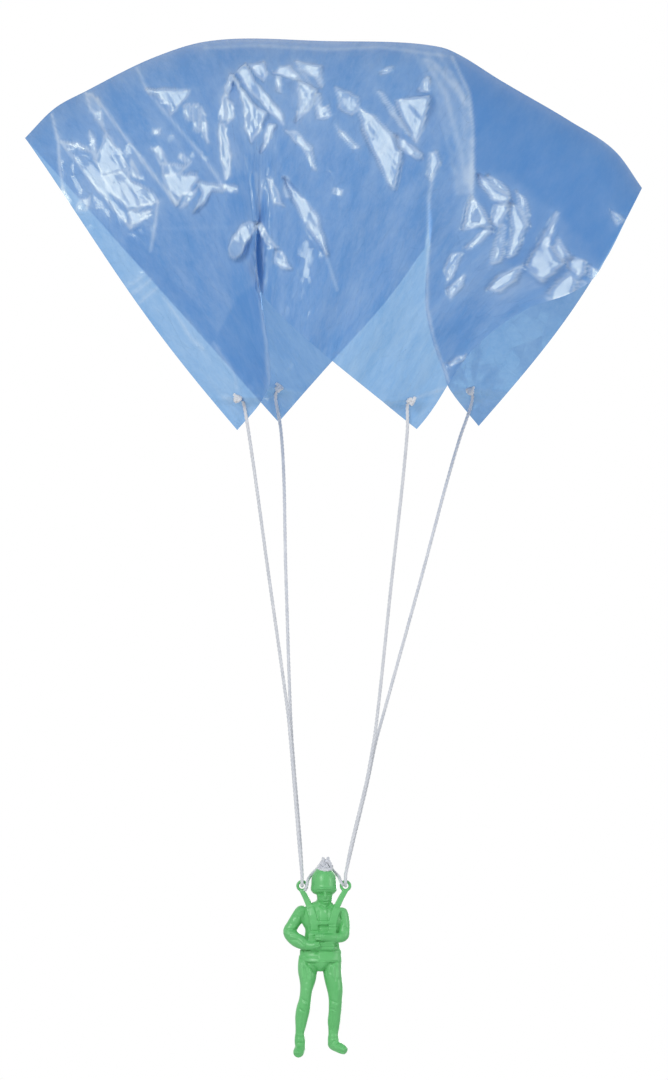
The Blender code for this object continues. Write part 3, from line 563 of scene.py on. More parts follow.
def film_curves(side, columns):
    """Ridge and hem of one half of the film, at each column share."""
    keys = FRONT_HEM_PX if side < 0 else BACK_HEM_PX
    fold = FRONT_FOLD_SHARES if side < 0 else BACK_FOLD_SHARES
    turns = [i for i, key in enumerate(keys) if key[0] in fold]
    ridge = np.array([smooth_through(RIDGE_PX, column) for column in columns])
    hem = np.array([smooth_through(keys, column, turns) for column in columns])
    return ridge, hem, fold


def film_half(side, columns, rows):
    """Points of one half of the film: side -1 is the front half and 1 the back half."""
    ridge, hem, fold = film_curves(side, columns)
    column, row = np.array(columns)[None, :], np.array(rows)[:, None]
    valley, reach = fold[1], fold[2] - fold[1]
    gather = GATHER_SHARE * np.exp(-(((column - valley) / GATHER_WIDTH_SHARE) ** 2))
    across_row = row + gather * row * (1 - row)
    across = (ridge[:, 0] + (hem[:, 0] - ridge[:, 0]) * across_row - CROWN_PX[0]) * PIXEL
    down = (ridge[:, 1] + (hem[:, 1] - ridge[:, 1]) * row - CROWN_PX[1]) * PIXEL
    if side > 0:
        edge = np.maximum(0.0, column - SWELL_START_SHARE) / (1 - SWELL_START_SHARE)
        across = across + SIDE_SWELL * edge**2 * np.sin(math.pi * row)
    else:
        edge = np.maximum(0.0, 1 - column / LEFT_SWELL_SHARE)
        across = across - LEFT_SWELL * edge**2 * np.sin(math.pi * row**LEFT_SWELL_EXPONENT)
        edge = np.maximum(0.0, column - RIGHT_SWELL_SHARE) / (1 - RIGHT_SWELL_SHARE)
        out = [smooth_through(RIGHT_SWELL_PX, place)[0] for place in row[:, 0]]
        across = across + np.array(out)[:, None] * PIXEL * edge**2
    dome = np.sqrt(row * (2 - row)) * row / (row + RIDGE_FOLD_SHARE)
    inward = np.maximum(0.0, 1 - np.abs(column - valley) / reach) * row**FOLD_EXPONENT
    if side < 0:
        lip = np.exp(-(((column - fold[0]) / LIP_SHARE) ** 2)) * np.sin(math.pi * row) ** 2
        across = across - FOLD_LAY * inward + LIP_OVERLAP * lip
    ripple = np.sin(2 * math.pi * RIPPLE_WAVES * column) * np.sin(math.pi * column)
    outward = hem[:, 2] * dome * CANOPY_BULGE + RIPPLE_HEIGHT * ripple * row
    return np.stack([across, side * (outward - FOLD_DEPTH * inward), -down], axis=-1)


def film_frame(side, column, row):
    """Point of the film, with its front-facing normal and its downward direction."""
    step = SLOPE_STEP_SHARE
    patch = film_half(side, [column - step, column, column + step], [row - step, row, row + step])
    along = Vector(patch[1, 2] - patch[1, 0])
    down = Vector(patch[2, 1] - patch[0, 1])
    normal = along.cross(down).normalized()
    if normal.y > 0:
        normal.negate()
    return Vector(patch[1, 1]), normal, down.normalized()


def smooth_step(low, high, value):
    """Goes smoothly from 0 at low to 1 at high."""
    share = np.clip((value - low) / (high - low), 0, 1)
    return share * share * (3 - 2 * share)


def distance_to_line(across, down, places):
    """Distance in pixels from points of the film to a line through places."""
    nearest = np.full(across.shape, np.inf)
    for (ax, ay), (bx, by) in zip(places, places[1:]):
        ex, ey = bx - ax, by - ay
        share = np.clip(((across - ax) * ex + (down - ay) * ey) / (ex * ex + ey * ey), 0, 1)
        nearest = np.minimum(nearest, np.hypot(across - ax - share * ex, down - ay - share * ey))
    return nearest


def distance_to_outline(across, down, outline):
    """Distance in pixels to an outline, negative inside it."""
    closed = [*outline, outline[0]]
    inside = np.zeros(across.shape, bool)
    for (ax, ay), (bx, by) in zip(closed, closed[1:]):
        if ay != by:
            crossing = (bx - ax) * (down - ay) / (by - ay) + ax
            inside ^= ((ay > down) != (by > down)) & (across < crossing)
    return np.where(inside, -1.0, 1.0) * distance_to_line(across, down, closed)


# Slopes of the film, depth over width and over height, that turn a facet to the left lamp
LAMP_SLOPES = (-0.2375, 0.211)
CRUMPLE_HEIGHT = 0.16 * MM
CRUMPLE_SPACING = 6.0 * MM
SECOND_CRUMPLE_SHARE = 0.5
SECOND_CRUMPLE_RATIO = 2.3
DEEP_CALM = 0.75
WANDER_SPACING = 2.2 * MM
HAZE_WANDER = 2
CREASE_WANDER = 0.4
CREASE_SPREAD = 1.3
STREAK_HEIGHT = 0.12 * MM
STREAK_SPACING = (1.5 * MM, 6.0 * MM)
STREAK_LEAN = 0.55
SWAY_HEIGHT = 0.5 * MM
SWAY_SPACING = 26 * MM
RIDGE_FADE_SHARE = 0.07
STRESS_REACH = 9.0 * MM
STRESS_FOLDS = 9
STRESS_HEIGHT = 0.35 * MM
KNOT_CLEAR = 1.6 * MM
KNOT_FADE = 3 * KNOT_CLEAR
STRING_CLEAR = 0.8 * MM
TIP_DROP = 1.5 * MM
TIP_REACH = 6.0 * MM
FACET_CRUMPLE_SHARE = 0.35
FACET_TILT_SPACING_PX = 7.3
FACET_TILT_SEEDS = (3, 90)
# Painted highlights of the facets that face the lamp: inside each, in a halo round it, and along its rim,
# which is also creased and whitened
FACET_INNER_HIGHLIGHT = 0.22
FACET_EDGE_PX = 1.5
FACET_HALO_HIGHLIGHT = 0.10
FACET_HALO_REACH_PX = 7.0
FACET_RIM_WHITENING_AND_HIGHLIGHT = 0.42
RIM_REACH_PX = 1.4


def noise_over(points, spacing, seed):
    """Smooth noise from -1 to 1 at points of the film."""
    offset = Vector((seed, 2 * seed, 3 * seed))
    flat = points.reshape(-1, 3) / spacing
    made = [noise.noise(Vector(place) + offset) for place in flat]
    return np.array(made).reshape(points.shape[:-1])


def streaks_over(points, seed):
    """Noise drawn out into streaks that run down the film and to the right."""
    angle = np.array((math.cos(STREAK_LEAN), math.sin(STREAK_LEAN)))
    across, down = points[..., 0], -points[..., 2]
    fine = (across * angle[0] - down * angle[1]) / STREAK_SPACING[0]
    long = (across * angle[1] + down * angle[0]) / STREAK_SPACING[1]
    return noise_over(np.stack([fine, long, np.zeros(fine.shape)], axis=-1), 1.0, seed)


def crease_film(points, rows, side):
    """Presses facets, creases and crumples into one half, and marks how white and how deep a
    blue each place is. The white is the creases' whitening with painted highlights on the facets,
    and the deeper blue is painted shade."""
    across = points[..., 0] / PIXEL + CROWN_PX[0]
    down = CROWN_PX[1] - points[..., 2] / PIXEL
    depth = points[..., 1].copy()
    white, deep = np.zeros(depth.shape), np.zeros(depth.shape)
    away_from_ridge = smooth_step(0, RIDGE_FADE_SHARE, np.array(rows))[:, None]
    for amount, edge, outline in DEEP_BLUE_AND_SHADE_PX:
        away = distance_to_outline(across, down, outline)
        deep = np.maximum(deep, amount * (1 - smooth_step(-edge / 2, edge / 2, away)))
    wander = noise_over(points, WANDER_SPACING, seed=5) * FACET_WANDER_PX
    sway = noise_over(points, SWAY_SPACING, seed=3) * SWAY_HEIGHT
    crumple = noise_over(points, CRUMPLE_SPACING, seed=7) * CRUMPLE_HEIGHT
    second = noise_over(points, CRUMPLE_SPACING / SECOND_CRUMPLE_RATIO, seed=11)
    crumple += SECOND_CRUMPLE_SHARE * second * CRUMPLE_HEIGHT
    crumple *= 1 - DEEP_CALM * deep
    streaks = streaks_over(points, seed=13) * STREAK_HEIGHT
    depth += away_from_ridge * (sway + crumple)
    facet_highlight_distance, wear_and_highlight = np.full(depth.shape, np.inf), np.zeros(depth.shape)
    for amount, edge, outline in HAZE_AND_PAINTED_LIGHT_PX if side < 0 else []:
        away = distance_to_outline(across, down, outline) + HAZE_WANDER * wander
        white += amount * (1 - smooth_step(-edge / 2, edge / 2, away))
    for outline in FACETS_PX if side < 0 else []:
        away = distance_to_outline(across, down, outline) + wander
        pressed = away_from_ridge * (1 - smooth_step(0, FACET_RIM_PX, away))
        inside = away < 0
        if not inside.any():
            continue
        inside &= depth < depth[inside].min() + FACET_RANGE
        middle = np.array([values[inside].mean() for values in (across, down, depth)])
        spots = [Vector((middle[0], middle[1], k)) / FACET_TILT_SPACING_PX for k in FACET_TILT_SEEDS]
        tilt = [FACET_TILT * noise.noise(spot) for spot in spots]
        slopes = np.array(LAMP_SLOPES) + tilt
        flat = middle[2] + slopes[0] * (across - middle[0]) * PIXEL
        flat -= slopes[1] * (down - middle[1]) * PIXEL
        pressed *= 1 - smooth_step(FACET_RANGE, 2 * FACET_RANGE, np.abs(flat - depth))
        depth += pressed * (flat + FACET_CRUMPLE_SHARE * crumple + streaks - depth)
        facet_highlight_distance = np.minimum(facet_highlight_distance, np.abs(away))
        # Painted highlight: the inside of each facet is made whiter, as where it reflects the lamp
        inner = 1 - smooth_step(-FACET_EDGE_PX, FACET_EDGE_PX, away)
        wear_and_highlight = np.maximum(wear_and_highlight, FACET_INNER_HIGHLIGHT * inner)
    # Painted highlight: a halo round the facets, and a rim along their creased edges that is both crease
    # whitening and painted highlight
    white += FACET_HALO_HIGHLIGHT * np.exp(-((facet_highlight_distance / FACET_HALO_REACH_PX) ** 2))
    white += FACET_RIM_WHITENING_AND_HIGHLIGHT * np.exp(-((facet_highlight_distance / RIM_REACH_PX) ** 2)) + wear_and_highlight
    # Creases whiten where the film is folded, and their white also paints a highlight along each line
    for whiteness, reach, height, places in CREASES_PX if side < 0 else []:
        away = distance_to_line(across, down, places) + CREASE_WANDER * wander
        depth -= away_from_ridge * height * MM * np.exp(-((away / (CREASE_SPREAD * reach)) ** 2))
        white += whiteness * np.exp(-((away / reach) ** 2))
    for corner, (knot_side, column, row) in CORNERS.items():
        if knot_side != side:
            continue
        place = film_half(side, [column], [row])[0, 0]
        apart = points - place
        reach = np.linalg.norm(apart, axis=-1)
        angle = np.arctan2(apart[..., 2], apart[..., 0])
        fade = np.exp(-((reach / STRESS_REACH) ** 2))
        depth += STRESS_HEIGHT * fade * np.sin(STRESS_FOLDS * angle) * (reach / STRESS_REACH)
        near = 1 - smooth_step(KNOT_CLEAR, KNOT_FADE, reach)
        depth += near * (points[..., 1] - depth)
        string = np.array(line_paths[corner])
        beside = points[..., 0] - np.interp(-points[..., 2], -string[:, 2], string[:, 0])
        behind = np.interp(-points[..., 2], -string[:, 2], string[:, 1]) + STRING_CLEAR
        hung = smooth_step(0, TIP_DROP, -apart[..., 2]) * np.exp(-((beside / TIP_REACH) ** 2))
        depth += hung * np.maximum(0, behind - depth)
    creased = points.copy()
    creased[..., 1] = depth
    return creased, np.clip(white, 0, 1), deep


CLOUD_SPACING = 22 * MM
MOTTLE_SPACING = 8 * MM
CRINKLE_LEAN = math.radians(38)
CRINKLE_STRETCH = 0.45
# Flat patches of the film: how wide, and how far they lean
CRINKLES = ((7.0 * MM, 0.08), (2.4 * MM, 0.13))
# How much of the film shows as a dyed face and how much is clear
FILM_COVER = 0.57
FILM_COVER_SPREAD = 0.16
CREASE_COVER = 0.20


def make_film_finish():
    """Blown polythene film: clear blue, glossy on both faces, white where it is creased, with
    painted highlights on the facets and creases that face the lamp and painted shade in a deeper blue.
    """
    made, tree = new_finish("blown polythene film")
    flat = node(tree, "ShaderNodeUVMap", uv_map="sheet")
    # The whitening mark holds the creases' whitening and painted highlights; the deepening mark holds
    # painted shade as a deeper blue, and also calms the crinkles
    creased = node(tree, "ShaderNodeAttribute", attribute_name="whitening")
    smooth = node(tree, "ShaderNodeAttribute", attribute_name="deepening")
    calm = node(tree, "ShaderNodeMapRange",
                {"Value": smooth.outputs["Fac"], "To Min": 1.0, "To Max": 0.35})
    cloud = node(tree, "ShaderNodeTexNoise",
                 {"Vector": flat, "Scale": FLAT_SIDE / CLOUD_SPACING, "Detail": 3.0})
    slant = node(tree, "ShaderNodeMapping",
                 {"Vector": flat, "Rotation": (0, 0, CRINKLE_LEAN), "Scale": (1.0, CRINKLE_STRETCH, 1.0)})
    mottle = node(tree, "ShaderNodeTexNoise",
                  {"Vector": slant, "Scale": FLAT_SIDE / MOTTLE_SPACING, "Detail": 6.0, "Roughness": 0.74})
    normal = None
    for width, slope in CRINKLES:
        cell = node(tree, "ShaderNodeTexVoronoi", {"Vector": slant, "Scale": FLAT_SIDE / width})
        away = node(tree, "ShaderNodeVectorMath", {0: slant, 1: cell.outputs["Position"]},
                    operation="SUBTRACT")
        lean = node(tree, "ShaderNodeVectorMath", {0: cell.outputs["Color"], 1: (0.5, 0.5, 0.5)},
                    operation="SUBTRACT")
        rise = node(tree, "ShaderNodeVectorMath", {0: away, 1: lean}, operation="DOT_PRODUCT")
        sockets = {
            "Strength": calm,
            "Distance": FLAT_SIDE * slope,
            "Height": rise.outputs["Value"],
        }
        if normal:
            sockets["Normal"] = normal
        normal = node(tree, "ShaderNodeBump", sockets)
    # Deeper blue where the deepening mark is: painted shade on the right panel, and darker wedges by the
    # front fold
    blue = node(
        tree,
        "ShaderNodeMix",
        {"Factor": smooth.outputs["Fac"], 6: linear("70A3DC"), 7: linear("5B95D4")},
        data_type="RGBA",
    )
    # Whiter with a random mottle of wear, and with the whitening mark, which holds painted highlights
    wear_and_highlight = node(tree, "ShaderNodeMapRange",
                {"Value": mottle, "From Min": 0.38, "From Max": 0.68, "To Max": 0.38})
    haze_and_highlight = node(tree, "ShaderNodeMath", {0: wear_and_highlight, 1: calm, 2: creased.outputs["Fac"]},
                operation="MULTIPLY_ADD")
    colour = node(tree, "ShaderNodeMix", {"Factor": haze_and_highlight, 6: blue.outputs[2], 7: linear("C9DEF5")},
                  data_type="RGBA")
    dyed = node(
        tree,
        "ShaderNodeBsdfPrincipled",
        {
            "Base Color": colour.outputs[2],
            "Roughness": 0.14,
            "IOR": 1.51,
            "Specular Tint": linear("FFFFDD"),
            "Normal": normal,
        },
    )
    clear = node(tree, "ShaderNodeBsdfTransparent", {"Color": linear("A0CBF3")})
    dense = node(tree, "ShaderNodeMath", {0: cloud, 1: FILM_COVER_SPREAD, 2: FILM_COVER},
                 operation="MULTIPLY_ADD")
    hidden = node(tree, "ShaderNodeMath", {0: creased.outputs["Fac"], 1: CREASE_COVER, 2: dense},
                  operation="MULTIPLY_ADD")
    film = node(tree, "ShaderNodeMixShader", {0: hidden, 1: clear, 2: dyed})
    node(tree, "ShaderNodeOutputMaterial", {"Surface": film})
    return made


def make_film():
    """The whole sheet, one row of points after another from the front hem to the back hem."""
    columns = np.linspace(0, 1, FILM_COLUMNS + 1)
    front_rows = (np.arange(FRONT_ROWS, 0, -1) / FRONT_ROWS) ** ROW_EXPONENT
    back_rows = (np.arange(0, BACK_ROWS + 1) / BACK_ROWS) ** ROW_EXPONENT
    front = crease_film(film_half(-1, columns, front_rows), front_rows, -1)
    back = crease_film(film_half(1, columns, back_rows), back_rows, 1)
    points = np.concatenate([front[0], back[0]]).reshape(-1, 3)
    rows = FRONT_ROWS + BACK_ROWS + 1
    start = np.arange(rows - 1)[:, None] * (FILM_COLUMNS + 1) + np.arange(FILM_COLUMNS)[None, :]
    start = start.ravel()
    above = start + FILM_COLUMNS + 1
    faces = np.stack([start, start + 1, above + 1, above], axis=1)
    mesh = bpy.data.meshes.new("canopy_sheet")
    mesh.from_pydata(points.tolist(), [], faces.tolist())
    share = np.concatenate([0.5 - front_rows / 2, 0.5 + back_rows / 2])
    flat = np.stack(np.meshgrid(columns, share), axis=-1).reshape(-1, 2)
    corners = np.zeros(len(mesh.loops), dtype=np.int32)
    mesh.loops.foreach_get("vertex_index", corners)
    mesh.uv_layers.new(name="sheet").data.foreach_set("uv", flat[corners].ravel())
    for name, k in (("whitening", 1), ("deepening", 2)):
        marks = np.concatenate([front[k], back[k]]).ravel()
        mesh.attributes.new(name, "FLOAT", "POINT").data.foreach_set("value", marks)
    mesh.shade_smooth()
    return mesh


def punch_eyelets(mesh):
    """Opens the hole that each line goes through, and rounds it."""
    work = bmesh.new()
    work.from_mesh(mesh)
    for side, column, row in CORNERS.values():
        place = film_frame(side, column, row)[0]
        near = [f for f in work.faces if (f.calc_center_median() - place).length < EYELET_RADIUS]
        rim = {v for f in near for v in f.verts if any(g not in near for g in v.link_faces)}
        bmesh.ops.delete(work, geom=near, context="FACES")
        for vert in rim:
            if vert.is_valid:
                apart = vert.co - place
                vert.co = place + apart * (EYELET_RADIUS / apart.length)
    work.to_mesh(mesh)
    work.free()


film_mesh = make_film()
punch_eyelets(film_mesh)
film = add_object("canopy_sheet", film_mesh)
film_mesh.materials.append(make_film_finish())
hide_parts("canopy_film")
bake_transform(film)

# Corner knots
# A stopper knot of the same string at each corner keeps the line from pulling through the film.
# It is an overhand knot drawn tight, with a short free end and a smaller turn that fills it.

KNOT_WIDTH = 2.6 * MM
KNOT_FLATNESS_SHARE = 0.55
KNOT_OPENING = 0.45
KNOT_POINTS = 60
KNOT_CORE_SHARE = 0.8
KNOT_LEAD_SHARE = 0.3
TAIL_LENGTH = 0.9 * MM
KNOT_TURN_LENGTH = 2.4 * MM


def overhand_knot(width, height):
    """The path of a tight overhand knot, whose two ends leave it at the bottom."""
    reach = (width - LINE_DIAMETER) / 2
    rise = (height - LINE_DIAMETER) / 2
    points = []
    for k in range(KNOT_POINTS + 1):
        t = math.pi + KNOT_OPENING + (2 * math.pi - 2 * KNOT_OPENING) * k / KNOT_POINTS
        across = reach * (math.sin(t) + 2 * math.sin(2 * t)) / 3
        depth = -reach * KNOT_FLATNESS_SHARE * math.sin(3 * t)
        up = rise * (math.cos(t) - 2 * math.cos(2 * t)) / 3
        points.append(Vector((across, depth, up)))
    return points


knots = {}
for corner, (side, column, row) in CORNERS.items():
    place, normal, down = film_frame(side, column, row)
    across = down.cross(normal).normalized()
    stance = Matrix((across, -normal, across.cross(-normal))).transposed()
    path = overhand_knot(KNOT_WIDTH, KNOT_WIDTH)
    depth = max(point.y for point in path) + LINE_DIAMETER / 2
    centre = place + normal * depth
    core = [centre + stance @ (KNOT_CORE_SHARE * Vector((-p.x, p.y, -p.z))) for p in path]
    tail = (path[-1] - path[-2]).normalized()
    path.append(path[-1] + tail * TAIL_LENGTH)
    world = [centre + stance @ point for point in path]
    start = line_paths[corner][0]
    world = [start, place + (start - place) * KNOT_LEAD_SHARE, *world]
    knots[corner] = lay_string(f"stopper_knot_{corner}", [world, core], KNOT_TURN_LENGTH)
    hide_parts(f"knot_{corner}")
    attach(knots[corner], "rigging")

# Loops at the shoulder rings
# At each ring the pair of lines comes together, bends once under the ring's bar and goes up
# again. The same string makes the loop, so it is laid and coloured like the lines.

RING_AXIS = Vector((0.312 * MM, 0.0, -218.5 * MM))
RING_SPACING = 11.3 * MM
RING_RADIUS = 1.15 * MM
RING_WIRE_RADIUS = 0.4 * MM
SEAT_GAP = 0.3 * MM
HITCH_LEG = 1.4 * MM
HITCH_STEPS = 16
HITCH_LAP = 0.25 * MM

hitches = {}
for name, side in (("left", -1), ("right", 1)):
    bend = RING_WIRE_RADIUS + SEAT_GAP + LINE_DIAMETER / 2
    across = RING_AXIS.x + side * RING_SPACING / 2
    top = RING_AXIS.z + HITCH_LEG + SEAT_GAP + HITCH_LAP
    path = [(across, -bend, top)]
    for k in range(HITCH_STEPS + 1):
        turn = math.pi * k / HITCH_STEPS
        path.append((across, -bend * math.cos(turn), RING_AXIS.z - bend * math.sin(turn)))
    path.append((across, bend, top))
    hitches[name] = lay_string(f"ring_loop_{name}", [path], KNOT_TURN_LENGTH)
    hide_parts(f"ring_hitch_{name}")
    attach(hitches[name], "hitches")

for corner, line in lines.items():
    path = line_paths[corner]
    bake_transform(line)

# Paratrooper
# One injection moulding in green polythene, about 49 mm tall: helmet, harness, risers and
# shoulder rings, arms folded over a reserve pack, legs and boots are all of a piece.

FIGURE_VOXEL = 0.14 * MM
SOFTENING = 0.5
SOFTENING_STEPS = 6
RING_SIDES = 40
RING_WIRE_SIDES = 16
RING_SETBACK = -0.34 * MM
RING_BAR_PX = 881.5
RING_MIDDLE_PX = 323.8
FIGURE_KEPT_SHARE = 0.5
FORM_STEPS = 4

HEAD_PX = [
    (325, 906.6, -4.5, 3.4, 3.6),
    (325, 904.6, -3.4, 5.2, 8.6),
    (324.9, 902.2, -2.4, 6.6, 8.8),
    (324.8, 899.6, -2.2, 7.4, 9.8),
    (324.7, 895.4, -1.6, 8.1, 9.9),
    (324.6, 892, -1, 8.3, 9.4),
    (324.4, 888, -1, 8.6, 11),
]
HELMET_PX = [
    (323.8, 893.4, 1, 10.4, 8.2),
    (323.8, 891, 0.5, 12.6, 11),
    (323.8, 888, 0, 13.2, 14.8),
    (323.8, 886, 0, 12.8, 14),
    (323.8, 880, 0, 12.4, 13.4),
    (323.8, 875, 0, 11.2, 12),
    (323.8, 871.5, 0, 9, 9.8),
    (323.8, 869, 0, 6.2, 6.8),
    (323.8, 867.6, 0, 2.6, 3),
]
TORSO_PX = [
    (320.2, 971, 0, 3.5, 5),
    (320.3, 967, 0, 11, 8.2),
    (320.5, 962, 0, 20, 9.6),
    (320.5, 957, 0, 20.8, 10),
    (320.5, 950, 0, 20, 9.4),
    (321.5, 940, 0, 17.5, 9.4),
    (322.5, 930, -0.5, 17.6, 10.2),
    (322.7, 924, -0.5, 20.6, 10.4),
    (323, 917, -0.5, 21, 10.6),
    (323, 911, 0, 20, 9.4),
    (323.4, 905.5, 0.5, 14.5, 7.6),
    (323.8, 901, 0.5, 7.5, 6.8),
    (323.8, 894, 0.5, 6.6, 6.6),
]
LEFT_ARM_PX = [
    (306, 908.5, 0, 3.5, 5),
    (302.6, 911.2, 0, 6.6, 6.8),
    (297.2, 918.4, -0.5, 6.6, 6.4),
    (292.4, 925.6, -1.5, 6.2, 6.2),
    (290, 931.6, -3, 7, 6.2),
    (294.4, 938.2, -5.5, 7, 6),
    (300.6, 941.8, -8, 7, 5.8),
    (306.5, 944.4, -11, 5.4, 5.2),
    (311, 945.4, -13, 4.4, 4.2),
    (316, 944.6, -14.8, 3.6, 3.4),
    (320, 943.4, -15.4, 2.8, 2.4),
]
RIGHT_ARM_PX = [
    (339, 909, 0, 3.5, 5),
    (341, 912.5, 0, 6.6, 6.8),
    (343.2, 921, -0.5, 6.4, 6.6),
    (344, 929, -2, 6, 6.2),
    (343, 935.6, -4, 5.8, 5.8),
    (338, 937.6, -8, 5, 5.2),
    (331, 937.4, -12.5, 4.4, 4.4),
    (325, 937, -15.5, 3.6, 3.6),
    (319.5, 936.6, -17, 3.6, 3),
    (315, 936.6, -17, 2.6, 2.4),
]
LEFT_LEG_PX = [
    (308, 956, 0, 9, 8),
    (307.6, 963, 0, 9.6, 8.2),
    (307.6, 971, 0, 9.7, 8.8),
    (307.6, 980, -1, 8.2, 8.8),
    (306.3, 990, -1.8, 6.2, 7.6),
    (305, 1000, -2.2, 6.1, 7),
    (303.4, 1008, -1.8, 6.9, 7.2),
    (301.7, 1017, 0, 6.6, 7),
    (300.7, 1026, 0.6, 5.4, 6),
    (299.7, 1034, 0.8, 4.4, 5),
    (299.7, 1036.5, 0.8, 4.9, 5.6),
    (300, 1043, 1, 5.4, 6),
    (300.2, 1049, 1.5, 4.6, 4.6),
]
LEFT_FOOT_PX = [
    (300.6, 1044.5, 5, 4.2, 4.4),
    (300.3, 1047, 1, 5.2, 5.6),
    (299.4, 1050, -4, 5.4, 5),
    (298.2, 1052.6, -9, 5.3, 4.2),
    (297.4, 1054.2, -12.5, 4, 3.2),
]
RIGHT_LEG_PX = [
    (332, 956, 0, 8.6, 8),
    (332.2, 963, 0, 9.2, 8.2),
    (332.2, 971, 0, 9.2, 8.8),
    (333.4, 980, -1, 8.8, 8.8),
    (335, 989, -1.8, 8.1, 8),
    (335.4, 998, -2.2, 6.9, 7.2),
    (335.3, 1006, -1.8, 6.6, 7),
    (334.7, 1014, 0, 6.3, 6.9),
    (334, 1021, 0.5, 6.4, 6.6),
    (333.6, 1029, 0.8, 5.4, 5.5),
    (333.2, 1034.5, 0.8, 4.9, 5),
    (333.2, 1037, 0.8, 5.3, 5.6),
    (333.4, 1042, 0.8, 5.6, 5.9),
    (333.6, 1046, 1, 4.6, 4.6),
]
RIGHT_FOOT_PX = [
    (331.4, 1043, 4.6, 4.4, 4.2),
    (333.4, 1044.8, 1, 5.4, 5),
    (338, 1047, -3.6, 5.3, 4.6),
    (342.6, 1049.2, -7.4, 4.9, 3.9),
    (345.6, 1050.8, -10, 3.6, 3),
]
PACK_PX = [
    (321.5, 949.5, -7, 10, 3.6),
    (321.5, 948, -8, 12.4, 5.4),
    (321.5, 943, -8, 13, 6),
    (321.5, 934, -8, 13, 5.6),
    (321.5, 931.5, -7.5, 11, 4),
]
BELT_PX = [
    (320.6, 953.6, 0, 20.9, 10.8),
    (320.6, 950.2, 0, 20.7, 10.7),
]
# Each riser ends in the lower bar of its shoulder ring
RING_PX = RING_SPACING / 2 / PIXEL
RISER_END_PX = (RING_BAR_PX + 2 * RING_RADIUS / PIXEL, RING_SETBACK / PIXEL, 2.7, 2)
LEFT_RISER_PX = [
    (311.5, 916, -6, 3.2, 3),
    (309.5, 906, -3, 3.2, 2.4),
    (306.2, 898.5, -1.9, 2.9, 2.2),
    (RING_MIDDLE_PX - RING_PX, *RISER_END_PX),
]
RIGHT_RISER_PX = [
    (333.5, 916, -6, 3.2, 3),
    (337.2, 906, -3, 3.2, 2.4),
    (340.8, 898.5, -1.9, 2.9, 2.2),
    (RING_MIDDLE_PX + RING_PX, *RISER_END_PX),
]
LEFT_HARNESS_PX = [
    (310, 908, -8, 3.8, 2),
    (312.5, 915, -10.6, 3.8, 1.8),
    (314, 924, -11, 3.8, 1.8),
    (314.5, 933, -10.4, 3.8, 1.8),
]
RIGHT_HARNESS_PX = [
    (337, 908.5, -8, 3.8, 2),
    (334.5, 915, -10.4, 3.8, 1.8),
    (332.5, 924, -10.8, 3.8, 1.8),
    (332, 933, -10.2, 3.8, 1.8),
]
CHEST_STRAP_PX = [
    (313, 922, -10.8, 2, 1.8),
    (323, 922.6, -11.8, 2, 1.8),
    (333, 922, -10.8, 2, 1.8),
]
BACK_STRAP_PX = [
    (307, 908, 7, 3, 1.6),
    (317, 921, 10.6, 3, 1.6),
    (329, 936, 10.2, 3, 1.6),
    (335, 950, 7.6, 3, 1.6),
]
BRIM_PX = [
    (324.2, 888.8, -3.8, 10.8, 12.4),
    (324.2, 887.4, -3.8, 10.8, 12.6),
]
NOSE_PX = [
    (325.2, 890.5, -10.6, 1, 1.2),
    (325.2, 894.6, -12.2, 1.5, 1.7),
    (325.2, 897.2, -12, 1.8, 1.6),
    (325.2, 898.2, -11, 1.4, 1),
]
COLLAR_PX = [
    (323.4, 909, -0.4, 13, 8.6),
    (323.8, 904.4, 0.4, 9.4, 7.4),
]
SKIRT_PX = [
    (320.5, 961.6, 0, 21.4, 13.4),
    (320.5, 957, 0, 21, 12.2),
    (320.5, 951.5, 0, 20.2, 9.8),
]
TAIL_PX = [
    (320.4, 958, 0, 15, 11.6),
    (320.4, 963.6, 0, 10.5, 12.6),
    (320.4, 968.4, 0, 5.4, 11),
    (320.4, 971.4, 0, 2.6, 8),
]
FIGURE_FORMS = [
    (HEAD_PX, 32),
    (HELMET_PX, 40),
    (TORSO_PX, 40),
    (LEFT_ARM_PX, 28),
    (RIGHT_ARM_PX, 28),
    (LEFT_LEG_PX, 28),
    (LEFT_FOOT_PX, 28),
    (RIGHT_LEG_PX, 28),
    (RIGHT_FOOT_PX, 28),
    (PACK_PX, 4),
    (BELT_PX, 40),
    (LEFT_RISER_PX, 4),
    (RIGHT_RISER_PX, 4),
    (LEFT_HARNESS_PX, 4),
    (RIGHT_HARNESS_PX, 4),
    (CHEST_STRAP_PX, 4),
    (BACK_STRAP_PX, 4),
    (BRIM_PX, 32),
    (NOSE_PX, 16),
    (COLLAR_PX, 32),
    (SKIRT_PX, 40),
    (TAIL_PX, 24),
]

